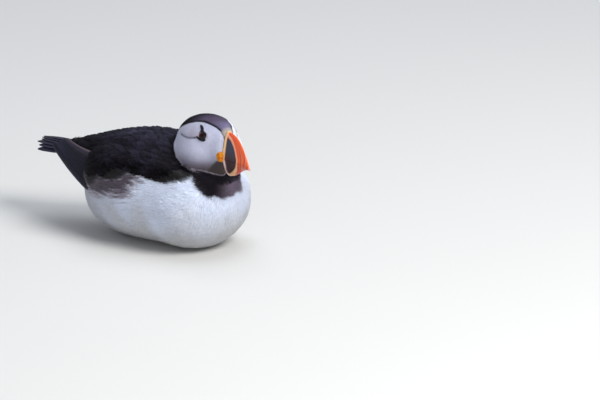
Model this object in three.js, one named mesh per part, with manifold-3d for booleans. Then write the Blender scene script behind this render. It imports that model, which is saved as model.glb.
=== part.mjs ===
// Atlantic puffin (Fratercula arctica): an adult in summer plumage, life size, resting on its belly
// with its head drawn in and turned to its right.
//
// Millimetres. +X is forward, to the breast, +Y is the bird's left and +Z is up. The origin is on the
// floor, in the flat of the belly. The feathered forms are implicit blobs, meshed by a surface net and
// parted by thin cuts. Bill, feathers and toes are lofts.
import * as THREE from "three";
import Module from "manifold-3d";
import { mergeVertices } from "three/addons/utils/BufferGeometryUtils.js";

// ---- driving dimensions ----
const GAP = 0.35; // between neighbouring pieces
const BODY_CELL = 9.4; // mesh size of the trunk and neck
const HEAD_CELL = 6.2; // mesh size of the head

const BODY_BLEND = 16; // how softly the trunk's forms run together
const HEAD_BLEND = 7;

const HEAD_AT = [71.4, -11, 87.4]; // the gape at the base of the bill
const HEAD_TURN = -24; // degrees about +Z, to the bird's right
const HEAD_NOD = -4; // degrees, bill down

const BILL_LENGTH = 37.5; // base to tip
const BILL_ABOVE = 22.5; // culmen over the gape, at the base
const BILL_BELOW = 14.5; // chin under the gape, at the base
const BILL_HALF_WIDTH = 6.2; // at the gape
const BILL_TIP_HALF_WIDTH = 1.1;
const BILL_TIP_DROP = 5.2; // the tip lies this far under the gape

const EYE_RADIUS = 5;
const EYE_AT = [-15.9, 13.1, 16.8]; // in the head's frame, on its left
const GAPE_SPOT_AT = [0, 6.8, 0.9]; // the fleshy rosette at the corner of the mouth
const GAPE_SPOT_RADII = [4.6, 3.2, 5.2];

const COVERT_DEPTH = 6; // how far the folded wing stands off the flank
const WING_EDGE = 1.2; // thickness at the rim of the folded wing
const TAIL_FEATHERS = 8;
const PRIMARIES = 6; // flight feathers that show past the folded wing
const TOE_LENGTHS = [30, 36, 38]; // inner, middle and outer toe

const wasm = await Module();
wasm.setup();

// ---- vectors ----
const V = (a) => new THREE.Vector3(...a);
const lerp = THREE.MathUtils.lerp;
const radians = THREE.MathUtils.degToRad;
const smooth = (t) => {
  const c = THREE.MathUtils.clamp(t, 0, 1);
  return c * c * (3 - 2 * c);
};
const mirrored = ([x, y, z], side) => [x, y * side, z];

// ---- implicit forms: negative inside, close to a distance in millimetres ----
function ellipsoid(centre, radii, pitch = 0) {
  const [cx, cy, cz] = centre;
  const [rx, ry, rz] = radii;
  const c = Math.cos(radians(pitch));
  const s = Math.sin(radians(pitch));
  return (x, y, z) => {
    const dx = x - cx;
    const dz = z - cz;
    const px = (c * dx + s * dz) / rx;
    const py = (y - cy) / ry;
    const pz = (c * dz - s * dx) / rz;
    const near = Math.hypot(px, py, pz);
    const slope = Math.hypot(px / rx, py / ry, pz / rz);
    return (near * (near - 1)) / Math.max(slope, 1e-9);
  };
}

function blended(width, forms) {
  return (x, y, z) => {
    let d = 1e9;
    for (const form of forms) {
      const f = form(x, y, z);
      const h = Math.max(width - Math.abs(d - f), 0) / width;
      d = Math.min(d, f) - (h * h * width) / 4;
    }
    return d;
  };
}

const pair = (centre, radii) => [1, -1].map((side) => ellipsoid(mirrored(centre, side), radii));

// ---- solids ----
function solidOf(geometry) {
  const bare = geometry.clone();
  bare.deleteAttribute("normal");
  bare.deleteAttribute("uv");
  const merged = mergeVertices(bare, 1e-4);
  return new wasm.Manifold(
    new wasm.Mesh({
      numProp: 3,
      vertProperties: new Float32Array(merged.attributes.position.array),
      triVerts: new Uint32Array(merged.index.array),
    }),
  );
}

function solidFrom(points, faces) {
  return new wasm.Manifold(
    new wasm.Mesh({
      numProp: 3,
      vertProperties: new Float32Array(points.flat()),
      triVerts: new Uint32Array(faces.flat()),
    }),
  );
}

const CELL_MARGIN = 0.04; // a net's vertices keep this far inside their own cells, in cells
const SLOPE_STEP = 0.05; // half the span over which a form's slope is measured
const NET_STEPS = 3; // how often each vertex is moved to the surface

// The closed surface where form is 0, in a box, on a grid of cells: one vertex in each cell that the
// surface crosses, set on the surface, and one square face round each crossed edge of the grid. With a
// lift, the same net is moved outwards by that much all over.
function surfaceNet(form, low, high, cell, lift) {
  const count = low.map((l, i) => Math.ceil((high[i] - l) / cell) + 1);
  const [nx, ny, nz] = count;
  const at = (i, j, k) => [low[0] + i * cell, low[1] + j * cell, low[2] + k * cell];
  const index = (i, j, k) => (i * ny + j) * nz + k;
  const value = new Float64Array(nx * ny * nz);
  for (let i = 0; i < nx; i++)
    for (let j = 0; j < ny; j++)
      for (let k = 0; k < nz; k++) value[index(i, j, k)] = form(...at(i, j, k));

  const slope = (p) =>
    [0, 1, 2].map((axis) => {
      const a = [...p];
      const b = [...p];
      a[axis] -= SLOPE_STEP;
      b[axis] += SLOPE_STEP;
      return (form(...b) - form(...a)) / (2 * SLOPE_STEP);
    });
  const corners = [0, 1, 2, 3, 4, 5, 6, 7].map((n) => [n & 1, (n >> 1) & 1, (n >> 2) & 1]);
  const vertexOf = new Map();
  const points = [];
  for (let i = 0; i < nx - 1; i++)
    for (let j = 0; j < ny - 1; j++)
      for (let k = 0; k < nz - 1; k++) {
        const inside = corners.map(([a, b, c]) => value[index(i + a, j + b, k + c)] < 0);
        const n = inside.filter(Boolean).length;
        if (n === 0 || n === 8) continue;
        const sum = [0, 0, 0];
        let crossings = 0;
        for (let a = 0; a < 8; a++)
          for (const bit of [1, 2, 4]) {
            const b = a | bit;
            if (b === a || inside[a] === inside[b]) continue;
            const ca = corners[a];
            const cb = corners[b];
            const va = value[index(i + ca[0], j + ca[1], k + ca[2])];
            const vb = value[index(i + cb[0], j + cb[1], k + cb[2])];
            const t = va / (va - vb);
            const start = [i, j, k];
            for (let m = 0; m < 3; m++) sum[m] += start[m] + lerp(ca[m], cb[m], t);
            crossings++;
          }
        let p = sum.map((s, m) => low[m] + (s / crossings) * cell);
        for (let step = 0; step < NET_STEPS; step++) {
          const g = slope(p);
          const f = form(...p);
          const size = g[0] ** 2 + g[1] ** 2 + g[2] ** 2;
          const moved = p.map((c, m) => c - (f * g[m]) / Math.max(size, 1e-6));
          if (Math.hypot(...moved.map((c, m) => c - p[m])) < cell) p = moved;
        }
        const corner = at(i, j, k);
        const near = CELL_MARGIN * cell;
        p = p.map((c, m) => THREE.MathUtils.clamp(c, corner[m] + near, corner[m] + cell - near));
        const out = V(slope(p)).normalize();
        vertexOf.set(index(i, j, k), points.length);
        points.push(V(p).addScaledVector(out, lift).toArray());
      }

  const faces = [];
  const quad = (a, b, c, d, flip) => {
    const [p, q, r, s] = [a, b, c, d].map((cellIndex) => vertexOf.get(cellIndex));
    const ring = flip ? [p, s, r, q] : [p, q, r, s];
    const span = (u, v) => Math.hypot(...points[u].map((c0, m) => c0 - points[v][m]));
    if (span(ring[0], ring[2]) < span(ring[1], ring[3]))
      faces.push([ring[0], ring[1], ring[2]], [ring[0], ring[2], ring[3]]);
    else faces.push([ring[1], ring[2], ring[3]], [ring[1], ring[3], ring[0]]);
  };
  for (let i = 1; i < nx - 1; i++)
    for (let j = 1; j < ny - 1; j++)
      for (let k = 1; k < nz - 1; k++) {
        const here = value[index(i, j, k)] < 0;
        if (here !== value[index(i + 1, j, k)] < 0)
          quad(index(i, j - 1, k - 1), index(i, j, k - 1), index(i, j, k), index(i, j - 1, k), !here);
        if (here !== value[index(i, j + 1, k)] < 0)
          quad(index(i - 1, j, k - 1), index(i - 1, j, k), index(i, j, k), index(i, j, k - 1), !here);
        if (here !== value[index(i, j, k + 1)] < 0)
          quad(index(i - 1, j - 1, k), index(i, j - 1, k), index(i, j, k), index(i - 1, j, k), !here);
      }
  return solidFrom(points, faces);
}

// A closed tube through rings of equal counts of points, each ring anticlockwise seen from its end.
function loft(rings) {
  const n = rings[0].length;
  const points = rings.flat();
  const faces = [];
  for (let r = 0; r < rings.length - 1; r++)
    for (let i = 0; i < n; i++) {
      const a = r * n + i;
      const b = r * n + ((i + 1) % n);
      faces.push([a, b, b + n], [a, b + n, a + n]);
    }
  const centreOf = (ring) => [0, 1, 2].map((m) => ring.reduce((s, p) => s + p[m], 0) / n);
  const last = (rings.length - 1) * n;
  points.push(centreOf(rings[0]), centreOf(rings[rings.length - 1]));
  for (let i = 0; i < n; i++) {
    const j = (i + 1) % n;
    faces.push([rings.length * n, j, i], [rings.length * n + 1, last + i, last + j]);
  }
  const solid = solidFrom(points, faces);
  return solid.volume() < 0 ? solidFrom(points, faces.map(([a, b, c]) => [a, c, b])) : solid;
}

// A half space: all that lies on the side of the plane that its normal points to.
const FAR = 600; // larger than the whole bird

function beyond(point, normal) {
  const geometry = new THREE.BoxGeometry(FAR, FAR, FAR);
  geometry.translate(0, 0, FAR / 2);
  const turn = new THREE.Quaternion().setFromUnitVectors(V([0, 0, 1]), V(normal).normalize());
  geometry.applyQuaternion(turn);
  geometry.translate(...point);
  return solidOf(geometry);
}

function prism(outline, low, high) {
  const shape = new THREE.Shape(outline.map(([x, z]) => new THREE.Vector2(x, z)));
  const geometry = new THREE.ExtrudeGeometry(shape, { depth: high - low, bevelEnabled: false });
  geometry.rotateX(Math.PI / 2); // outline in X and Z, depth along -Y
  geometry.translate(0, high, 0);
  return solidOf(geometry);
}

const joined = (solids) => solids.reduce((a, b) => a.add(b));
const largest = (solid) =>
  solid.decompose().reduce((a, b) => (a.volume() > b.volume() ? a : b));

// ---- the trunk and neck ----
const trunkForms = [
  ellipsoid([30, 0, 40.5], [43.5, 52, 42]), // breast
  ellipsoid([-14, 0, 44], [56, 54, 45]), // belly
  ellipsoid([-45, 0, 37], [34, 40, 34]), // vent
  ellipsoid([-14, 0, 64], [58, 44, 29]), // back
  ellipsoid([-58, 0, 61], [38, 28, 21], -4), // rump
  ellipsoid([-94, 0, 64], [20, 13, 8], -4), // tail coverts
];
const neckForm = ellipsoid([40, -6, 56], [26, 26, 26]);
const bodyForm = blended(BODY_BLEND, [...trunkForms, neckForm]);
const BODY_LOW = [-132, -80, -12];
const BODY_HIGH = [100, 80, 130];
const bodyNet = (lift) => surfaceNet(bodyForm, BODY_LOW, BODY_HIGH, BODY_CELL, lift);

// ---- the head, in its own frame: X along the bill, origin at the gape ----
const headTurn = new THREE.Matrix4()
  .makeTranslation(...HEAD_AT)
  .multiply(new THREE.Matrix4().makeRotationZ(radians(HEAD_TURN)))
  .multiply(new THREE.Matrix4().makeRotationY(radians(HEAD_NOD)));
const placedOnHead = (solid) => solid.transform(headTurn.elements);

const headForm = blended(HEAD_BLEND, [
  ellipsoid([-36, 0, 11], [30.5, 24.5, 20.2]), // cranium
  ...pair([-35.5, 13, -5], [24, 17.5, 22]), // cheeks
  ...pair([-19, 6, 15], [15, 9, 12]), // brows
  ellipsoid([-9, 0, 4], [15, 11, 21]), // face
  ellipsoid([-10, 0, 16], [15, 7, 12], 25), // forehead
  ellipsoid([-9, 0, -9], [15, 11, 10]), // chin
  ellipsoid([-22, 0, -12], [20, 20, 15]), // throat
]);
const HEAD_LOW = [-76, -42, -42.2];
const HEAD_HIGH = [20, 42, 50];
const headNet = (lift) => surfaceNet(headForm, HEAD_LOW, HEAD_HIGH, HEAD_CELL, lift);

// ---- the bill, in the head's frame ----
// Heights of its edges by t, from 0 at the base to 1 at the tip.
const arc = (t) => Math.sin(Math.PI * THREE.MathUtils.clamp(t, 0, 1));
const culmen = (t) => lerp(BILL_ABOVE, -BILL_TIP_DROP, t ** 1.7) + arc(t);
const gape = (t) => -1.2 * arc(1.3 * t) - 4.2 * t ** 3 - 1.3 * t ** 12;
const gonys = (t) => lerp(-BILL_BELOW, -BILL_TIP_DROP - 0.2, smooth((t - 0.25) / 0.72)) - 0.6 * arc(t);
const billHalfWidth = (t) => lerp(BILL_HALF_WIDTH, BILL_TIP_HALF_WIDTH, t ** 0.85);
const baseCurve = (z) => 2.4 + 0.8 * ((z - 3) / 19) ** 2; // how far forward the base runs, by height
const RIDGE_ROUNDING = 7; // the higher, the flatter the bill's sides and the sharper its ridges
const RIDGE_STEPS = { upper: 7, lower: 4 };
const RIDGE_NARROWING = { upper: 0.62, lower: 0.5 }; // how much thinner a ridge is than the gape

// One ring of a bill half at t from base to tip: up one side to the ridge and down the other.
function billRing(t, from, to, half) {
  const side = [];
  for (let i = 0; i <= RIDGE_STEPS[half]; i++) {
    const rise = i / RIDGE_STEPS[half];
    const z = lerp(from, to, rise);
    const narrowed = billHalfWidth(t) * (1 - RIDGE_NARROWING[half] * rise);
    const x = lerp(baseCurve(z), BILL_LENGTH, t);
    side.push([x, narrowed * Math.sqrt(1 - rise ** RIDGE_ROUNDING), z]);
  }
  return [...side, ...side.slice(0, -1).reverse().map(([x, y, z]) => [x, -y, z])];
}

const BILL_STATIONS = [0, 0.16, 0.34, 0.52, 0.7, 0.84, 0.94, 1];
const MANDIBLE_REACH = 0.94; // the upper tip hooks over the lower
const lowerStations = BILL_STATIONS.map((t) => t * MANDIBLE_REACH);
const maxilla = loft(BILL_STATIONS.map((t) => billRing(t, gape(t), culmen(t), "upper")));
const mandible = loft(lowerStations.map((t) => billRing(t, gape(t) - GAP, gonys(t), "lower")));

const BASE_STEPS = 14;
const HEAD_SPAN = { back: -90, bottom: -45, top: 60, side: 60 }; // a box that holds the whole head
const baseEdge = Array.from({ length: BASE_STEPS + 1 }, (_, i) => {
  const z = lerp(HEAD_SPAN.bottom, HEAD_SPAN.top, i / BASE_STEPS);
  return [baseCurve(z) - GAP, z];
});
const behindBill = prism(
  [[HEAD_SPAN.back, HEAD_SPAN.top], [HEAD_SPAN.back, HEAD_SPAN.bottom], ...baseEdge],
  -HEAD_SPAN.side,
  HEAD_SPAN.side,
);

// ---- eyes, eye plates and gape rosettes, in the head's frame ----
const sphere = (radius, centre) => {
  const geometry = new THREE.SphereGeometry(radius, 12, 8);
  geometry.rotateX(Math.PI / 2);
  geometry.translate(...centre);
  return solidOf(geometry);
};
const PLATE_DEPTH = 1.1;
const eyePlateOutlines = {
  upper: [[-19.4, 19.2], [-14.2, 18.9], [-16.4, 21.6], [-19.4, 23.8], [-23.4, 24.6], [-20.8, 22.4]],
  lower: [[-22.6, 15.8], [-18.6, 13.2], [-14.4, 12.6], [-14.4, 14.4], [-18.4, 15], [-21.4, 16.6]],
};
const headSkinOut = headNet(PLATE_DEPTH);
const headSkinIn = headNet(GAP);

function eyePlate(outline, side) {
  const [low, high] = side > 0 ? [2, HEAD_SPAN.side] : [-HEAD_SPAN.side, -2];
  const plate = prism(outline, low, high).intersect(headSkinOut).subtract(headSkinIn);
  return largest(plate.subtract(sphere(EYE_RADIUS + GAP, mirrored(EYE_AT, side))));
}

function rosette(side, extra) {
  const geometry = new THREE.SphereGeometry(1, 10, 6);
  geometry.scale(...GAPE_SPOT_RADII.map((radius) => radius + extra));
  geometry.translate(...mirrored(GAPE_SPOT_AT, side));
  return solidOf(geometry);
}

// ---- folded wings: coverts and scapulars, a shell that lies on the flank ----
// The lower and upper rim, from the tail end to the front, in X and Z.
const WING_LOWER = [
  [-64, 62], [-61, 52], [-52, 46], [-40, 53], [-25, 61], [-6, 68], [16, 69.5], [33, 67.5], [42, 70],
];
const WING_UPPER = [
  [-64, 70], [-60, 76], [-50, 81], [-38, 84], [-24, 86], [-6, 86.5], [12, 84], [28, 78.5], [41, 73],
];
const WING_ENDS = [-66, 44]; // the depth dies away towards these, in X
const WING_STATIONS = 13;
const WING_ROWS = 5;
const WING_SWELL = 13; // the shell reaches its full depth this far in from its rim
const FLANK_SET = 0.9; // from the shell's inner face to the flank
const INNER_GROWTH = 4; // a grown shell goes this much deeper, to cut through what it lies on

const curveThrough = (points) =>
  new THREE.CatmullRomCurve3(points.map(([x, z]) => V([x, 0, z])), false, "centripetal");
const wingLower = curveThrough(WING_LOWER);
const wingUpper = curveThrough(WING_UPPER);

const FLANK_SEARCH = 90; // further from the midline than any part of the body
const FLANK_CLOSENESS = 0.01;

// How far out from the midline the body's surface, grown by some depth, lies at x and z.
function flankAt(x, z, depth, side) {
  let low = 0;
  let high = FLANK_SEARCH;
  while (high - low > FLANK_CLOSENESS) {
    const middle = (low + high) / 2;
    if (bodyForm(x, side * middle, z) < depth) low = middle;
    else high = middle;
  }
  return [x, side * high, z];
}

function foldedWing(side, extra = 0) {
  const rings = [];
  for (let i = 0; i < WING_STATIONS; i++) {
    const t = i / (WING_STATIONS - 1);
    const low = wingLower.getPoint(t);
    const high = wingUpper.getPoint(t);
    const reach = low.distanceTo(high);
    const outer = [];
    const inner = [];
    for (let j = 0; j <= WING_ROWS; j++) {
      const v = j / WING_ROWS;
      const at = low.clone().lerp(high, lerp(-extra / reach, 1 + extra / reach, v));
      const fromEnds = Math.min(at.x - WING_ENDS[0], WING_ENDS[1] - at.x);
      const fromRim = Math.min(v * reach, (1 - v) * reach, fromEnds);
      const swell = smooth(fromRim / WING_SWELL);
      const depth = FLANK_SET + lerp(WING_EDGE, COVERT_DEPTH, swell) + extra;
      outer.push(flankAt(at.x, at.z, depth, side));
      inner.unshift(flankAt(at.x, at.z, FLANK_SET - INNER_GROWTH * extra, side));
    }
    rings.push([...outer, ...inner]);
  }
  return loft(rings);
}

// ---- flight feathers ----
// The closed flight feathers of one wing, as a bowed sheet: its lower edge is the outermost primary and
// each row across it is the vane of one feather.
const WING_TIP_LOW = [[-46, 43, 34], [-113, 20, 71]];
const WING_TIP_HIGH = [[-50, 31, 74], [-103, 13, 76]];
const FLIGHT_STATIONS = 8;
const FLIGHT_THICKNESS = 2;
const FLIGHT_BOW = 4; // how far the sheet bulges outwards, half way along
const LEFT_TIP_DROP = 5; // the left wing tip lies lower on the rump than the right
const VANE_STEP = 0.5; // each vane stands this much over the next

function flightFeathers(side, extra = 0) {
  const [lowRoot, lowTip, highRoot, highTip] = [...WING_TIP_LOW, ...WING_TIP_HIGH].map(V);
  const rings = [];
  for (let i = 0; i < FLIGHT_STATIONS; i++) {
    const t = i / (FLIGHT_STATIONS - 1);
    const low = lowRoot.clone().lerp(lowTip, t);
    const high = highRoot.clone().lerp(highTip, t);
    const bow = FLIGHT_BOW * Math.sin(Math.PI * t);
    const drop = side > 0 ? LEFT_TIP_DROP * t : 0;
    const face = [];
    const back = [];
    for (let j = 0; j <= PRIMARIES; j++) {
      const at = low.clone().lerp(high, j / PRIMARIES);
      const swell = bow + VANE_STEP * (j % 2) + extra;
      face.push(mirrored([at.x, at.y + swell, at.z - drop], side));
      const under = swell - FLIGHT_THICKNESS - 2 * extra;
      back.unshift(mirrored([at.x, at.y + under, at.z - drop], side));
    }
    rings.push([...face, ...back]);
  }
  return loft(rings);
}

// ---- tail: a low fan, its outer feathers shorter, lower and tilted ----
const TAIL_ROOT = [-88, 0, 66];
const TAIL_TIP = [-135, 0, 67];
const TAIL_SPREAD = { root: 8, tip: 14 }; // half the fan's width
const TAIL_CURVE = { root: 3, tip: 6, shortening: 4, tilt: 0.8 }; // of the outermost feathers
const TAIL_STEP = 0.5; // every other feather lies this much higher
const TAIL_WIDTH = 9;
const TAIL_THICKNESS = 1.6;
const TAIL_STATIONS = 6;
const TAIL_POINT = 0.22; // the share of a feather that its round end takes up

// A thin blade from root to tip, with its width along the across vector.
function tailFeather(root, tip, across) {
  const along = V(tip).sub(V(root));
  const wide = V(across).normalize();
  const thick = along.clone().normalize().cross(wide).normalize();
  const rings = [];
  for (let i = 0; i < TAIL_STATIONS; i++) {
    const t = i / (TAIL_STATIONS - 1);
    const end = smooth((t - 1 + TAIL_POINT) / TAIL_POINT);
    const rounding = Math.sqrt(Math.max(0.03, 1 - end ** 2));
    const half = (TAIL_WIDTH / 2) * rounding * lerp(0.75, 1, smooth(t / 0.3));
    const depth = (TAIL_THICKNESS / 2) * lerp(1, 0.6, t);
    const centre = V(root).addScaledVector(along, t);
    const corner = (u, v) =>
      centre.clone().addScaledVector(wide, u * half).addScaledVector(thick, v * depth).toArray();
    rings.push([corner(1, 1), corner(-1, 1), corner(-1, -1), corner(1, -1)]);
  }
  return loft(rings);
}

function tailFan() {
  const blades = [];
  for (let i = 0; i < TAIL_FEATHERS; i++) {
    const u = (2 * i) / (TAIL_FEATHERS - 1) - 1; // -1 on the right, 1 on the left
    const rise = (curve) => TAIL_STEP * (i % 2) - curve * u * u;
    const root = [TAIL_ROOT[0], TAIL_SPREAD.root * u, TAIL_ROOT[2] + rise(TAIL_CURVE.root)];
    const tipX = TAIL_TIP[0] + TAIL_CURVE.shortening * u * u;
    const tip = [tipX, TAIL_SPREAD.tip * u, TAIL_TIP[2] + rise(TAIL_CURVE.tip)];
    blades.push(tailFeather(root, tip, [0, 1, -TAIL_CURVE.tilt * u]));
  }
  return joined(blades);
}

// ---- legs ----
const floorUp = beyond([0, 0, 0], [0, 0, 1]);
const ANKLE = [-50, 7.5, 6];
const FOOT = [-24, 8.5, 4.5];
const KNEE = [-44, 12, 17]; // where the leg goes up into the belly
const TOE_ANGLES = [-6, -1, 4]; // degrees from forward, positive outwards
const TOE_TIP_HEIGHT = 2;
const CLAW_LENGTH = 6;
const WEB_THICKNESS = 1.6;
const WEB_SHORT = 1.5; // the web ends this far short of the toes' tips
const ANKLE_RADIUS = 4.4;
const FOOT_RADIUS = 3.8;
const KNEE_RADIUS = 5.2;
const TOE_RADII = [3.4, 2.1]; // at the foot and at the tip
const CLAW_RADII = [1.8, 0.7];
const LEG_FACETS = 7;
const TOE_FACETS = 6;
const CLAW_FACETS = 5;

// A straight taper from one point to another, all of it larger by extra.
function taper(from, to, startRadius, endRadius, sides, extra) {
  const along = V(to).sub(V(from)).normalize();
  const level = new THREE.Vector3(-along.y, along.x, 0).normalize();
  const upright = along.clone().cross(level);
  const ring = (at, shift, radius) =>
    Array.from({ length: sides }, (_, k) => {
      const a = (2 * Math.PI * k) / sides;
      return V(at)
        .addScaledVector(along, shift)
        .addScaledVector(level, (radius + extra) * Math.cos(a))
        .addScaledVector(upright, (radius + extra) * Math.sin(a))
        .toArray();
    });
  return loft([ring(from, -extra, startRadius), ring(to, extra, endRadius)]);
}

const toeTip = (n, side, further) => {
  const a = radians(TOE_ANGLES[n]);
  const reach = TOE_LENGTHS[n] + further;
  return [FOOT[0] + reach * Math.cos(a), side * (FOOT[1] + reach * Math.sin(a)), TOE_TIP_HEIGHT];
};

function leg(side, extra) {
  const ankle = mirrored(ANKLE, side);
  const foot = mirrored(FOOT, side);
  const parts = [
    taper(ankle, foot, ANKLE_RADIUS, FOOT_RADIUS, LEG_FACETS, extra),
    taper(ankle, mirrored(KNEE, side), ANKLE_RADIUS, KNEE_RADIUS, LEG_FACETS, extra),
  ];
  const tips = TOE_LENGTHS.map((_, n) => toeTip(n, side, 0));
  tips.forEach((tip, n) => {
    const claw = toeTip(n, side, CLAW_LENGTH);
    parts.push(taper(foot, tip, ...TOE_RADII, TOE_FACETS, extra));
    parts.push(taper(tip, claw, ...CLAW_RADII, CLAW_FACETS, extra));
  });
  const web = [foot, ...tips.map((_, n) => toeTip(n, side, extra - WEB_SHORT))];
  const shape = new THREE.Shape(web.map(([x, y]) => new THREE.Vector2(x, y)));
  const depth = WEB_THICKNESS + extra;
  parts.push(solidOf(new THREE.ExtrudeGeometry(shape, { depth, bevelEnabled: false })));
  return joined(parts).intersect(floorUp);
}

// ---- parting the model into its pieces ----
const sides = [["left", 1], ["right", -1]];
const COLLAR_AT = [69, -22, 52.6]; // the lowest point of the black collar, at the front
const COLLAR_NORMAL = [0.68, -0.13, 0.72];
const MANTLE_AT = [40, 0, 74]; // the black back meets the white flank in a plane under the wings
const MANTLE_NORMAL = [-0.12, 0, 0.99];

const bodySkin = bodyNet(GAP);
const headSpace = placedOnHead(headSkinIn);
const bodySolid = bodyNet(0).intersect(floorUp).subtract(headSpace);
const back = (point, normal) => point.map((c, i) => c - normal[i] * GAP);
const legSpaces = joined(sides.map(([, side]) => leg(side, GAP)));
const flightSpaces = joined(sides.map(([, side]) => flightFeathers(side, GAP)));

const behindCollar = bodySolid.subtract(beyond(back(COLLAR_AT, COLLAR_NORMAL), COLLAR_NORMAL));
let head = headNet(0).intersect(behindBill);
const pieces = {
  bill_upper: placedOnHead(maxilla),
  bill_lower: placedOnHead(mandible),
  neck: largest(bodySolid.intersect(beyond(COLLAR_AT, COLLAR_NORMAL))),
  mantle: largest(behindCollar.intersect(beyond(MANTLE_AT, MANTLE_NORMAL))),
  trunk: largest(
    behindCollar.subtract(beyond(back(MANTLE_AT, MANTLE_NORMAL), MANTLE_NORMAL)).subtract(legSpaces),
  ),
  tail: largest(tailFan().subtract(bodySkin).subtract(flightSpaces)),
};
for (const [name, side] of sides) {
  const eyeAt = mirrored(EYE_AT, side);
  head = head.subtract(sphere(EYE_RADIUS + GAP, eyeAt)).subtract(rosette(side, GAP));
  pieces[`eye_${name}`] = placedOnHead(sphere(EYE_RADIUS, eyeAt));
  pieces[`gape_rosette_${name}`] = placedOnHead(rosette(side, 0).intersect(behindBill));
  for (const [level, outline] of Object.entries(eyePlateOutlines))
    pieces[`eye_plate_${level}_${name}`] = placedOnHead(eyePlate(outline, side));
  pieces[`wing_${name}`] = largest(foldedWing(side).subtract(headSpace));
  pieces[`flight_feathers_${name}`] = largest(
    flightFeathers(side).subtract(bodySkin).subtract(foldedWing(side, GAP)),
  );
  pieces[`leg_${name}`] = leg(side, 0);
}
pieces.head = placedOnHead(largest(head));

// ---- colours ----
const finish = (color, roughness) => new THREE.MeshStandardMaterial({ color, roughness, metalness: 0 });
const FACE_GREY = finish(0xb9b8c2, 0.8);
const BLACK = finish(0x17151a, 0.7);
const WHITE = finish(0xe8eaee, 0.85);
const QUILL = finish(0x201e24, 0.55);
const ORANGE = finish(0xe8571a, 0.35);
const GAPE_YELLOW = finish(0xe79416, 0.5);
const EYE_BROWN = finish(0x1a0c08, 0.08);
const SLATE = finish(0x39434e, 0.45);
const LEG_ORANGE = finish(0xe2601c, 0.5);
const finishes = [
  [/^head/, FACE_GREY],
  [/^neck|^mantle|^wing/, BLACK],
  [/^trunk/, WHITE],
  [/^tail|^flight/, QUILL],
  [/^bill/, ORANGE],
  [/^gape/, GAPE_YELLOW],
  [/^eye_plate/, SLATE],
  [/^eye_/, EYE_BROWN],
  [/^leg/, LEG_ORANGE],
];

function geometryOf(solid) {
  const mesh = solid.getMesh();
  const positions = new Float32Array(mesh.numVert * 3);
  for (let i = 0; i < mesh.numVert; i++)
    for (let m = 0; m < 3; m++) positions[i * 3 + m] = mesh.vertProperties[i * mesh.numProp + m];
  return new THREE.BufferGeometry()
    .setAttribute("position", new THREE.BufferAttribute(positions, 3))
    .setIndex(new THREE.BufferAttribute(new Uint32Array(mesh.triVerts), 1));
}

const puffin = new THREE.Group();
for (const [name, solid] of Object.entries(pieces)) {
  const material = finishes.find(([pattern]) => pattern.test(name))[1];
  const mesh = new THREE.Mesh(geometryOf(solid), material);
  mesh.name = name;
  puffin.add(mesh);
}

export default puffin;
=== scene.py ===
"""The looks of the Atlantic puffin: skin, feathers, bill, eyes and feet over the model's frame.

Sizes are in millimetres until a mesh is made. +X is forward, +Y the bird's left and +Z up. The head has
a frame of its own: X along the bill, Y to its left, the origin at the gape.
"""

import math

import bmesh
import bpy
import numpy as np
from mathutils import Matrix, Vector
from mathutils.bvhtree import BVHTree


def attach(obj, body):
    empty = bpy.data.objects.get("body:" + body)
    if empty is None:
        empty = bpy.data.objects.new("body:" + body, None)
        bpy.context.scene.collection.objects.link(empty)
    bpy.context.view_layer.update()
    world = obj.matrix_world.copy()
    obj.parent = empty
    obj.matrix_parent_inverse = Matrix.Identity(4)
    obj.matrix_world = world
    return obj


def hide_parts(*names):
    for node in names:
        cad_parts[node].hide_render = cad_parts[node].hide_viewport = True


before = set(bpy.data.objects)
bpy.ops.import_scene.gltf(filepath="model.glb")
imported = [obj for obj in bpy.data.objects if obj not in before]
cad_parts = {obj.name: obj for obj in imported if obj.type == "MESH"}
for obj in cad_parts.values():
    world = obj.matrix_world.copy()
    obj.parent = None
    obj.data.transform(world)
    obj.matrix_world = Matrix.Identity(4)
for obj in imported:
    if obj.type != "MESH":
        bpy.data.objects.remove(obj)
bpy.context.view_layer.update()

# ---- sizes and places ----
MM = 0.001
SIDES = {"left": 1, "right": -1}

HEAD_AT = np.array([71.4, -11.0, 87.4])  # the gape at the base of the bill
HEAD_TURN = -24.0
HEAD_NOD = -4.0

BILL_LENGTH = 37.5
BILL_ABOVE = 22.5
BILL_BELOW = 14.5
BILL_HALF_WIDTH = 6.2
BILL_TIP_HALF_WIDTH = 1.1
BILL_TIP_DROP = 5.2
MANDIBLE_REACH = 0.94
MOUTH_GAP = 0.35
BILL_SKIRT = 1.6  # how far the bill's horn goes back under the feathers

EYE_AT = np.array([-15.9, 13.1, 16.8])
EYE_RADIUS = 5.0
GAZE = np.array([0.56, 0.80, 0.13])  # the way that the left eye looks
LEFT_EYE_SHIFT = np.array([-2.4, -1.7, -0.9])
EYE_TURNS = 64  # points in each ring of the eye and its lids
LID_ANGLES = (42.0, 37.0)  # how far the lids open from the gaze, across and up, in degrees
GAPE_SPOT_AT = np.array([-0.7, 6.9, 1.0])
GAPE_SPOT_RADII = np.array([5.2, 3.3, 4.9])

FLESH = ["head", "neck", "mantle", "trunk", "wing_left", "wing_right"]
POCKET_FILLERS = ["eye", "gape_rosette", "leg"]  # they fill the pockets that the flesh leaves for them
BODY_CENTRE = np.array([-10.0, 0.0, 52.0])
BODY_RADII = np.array([90.0, 52.0, 45.0])

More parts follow.
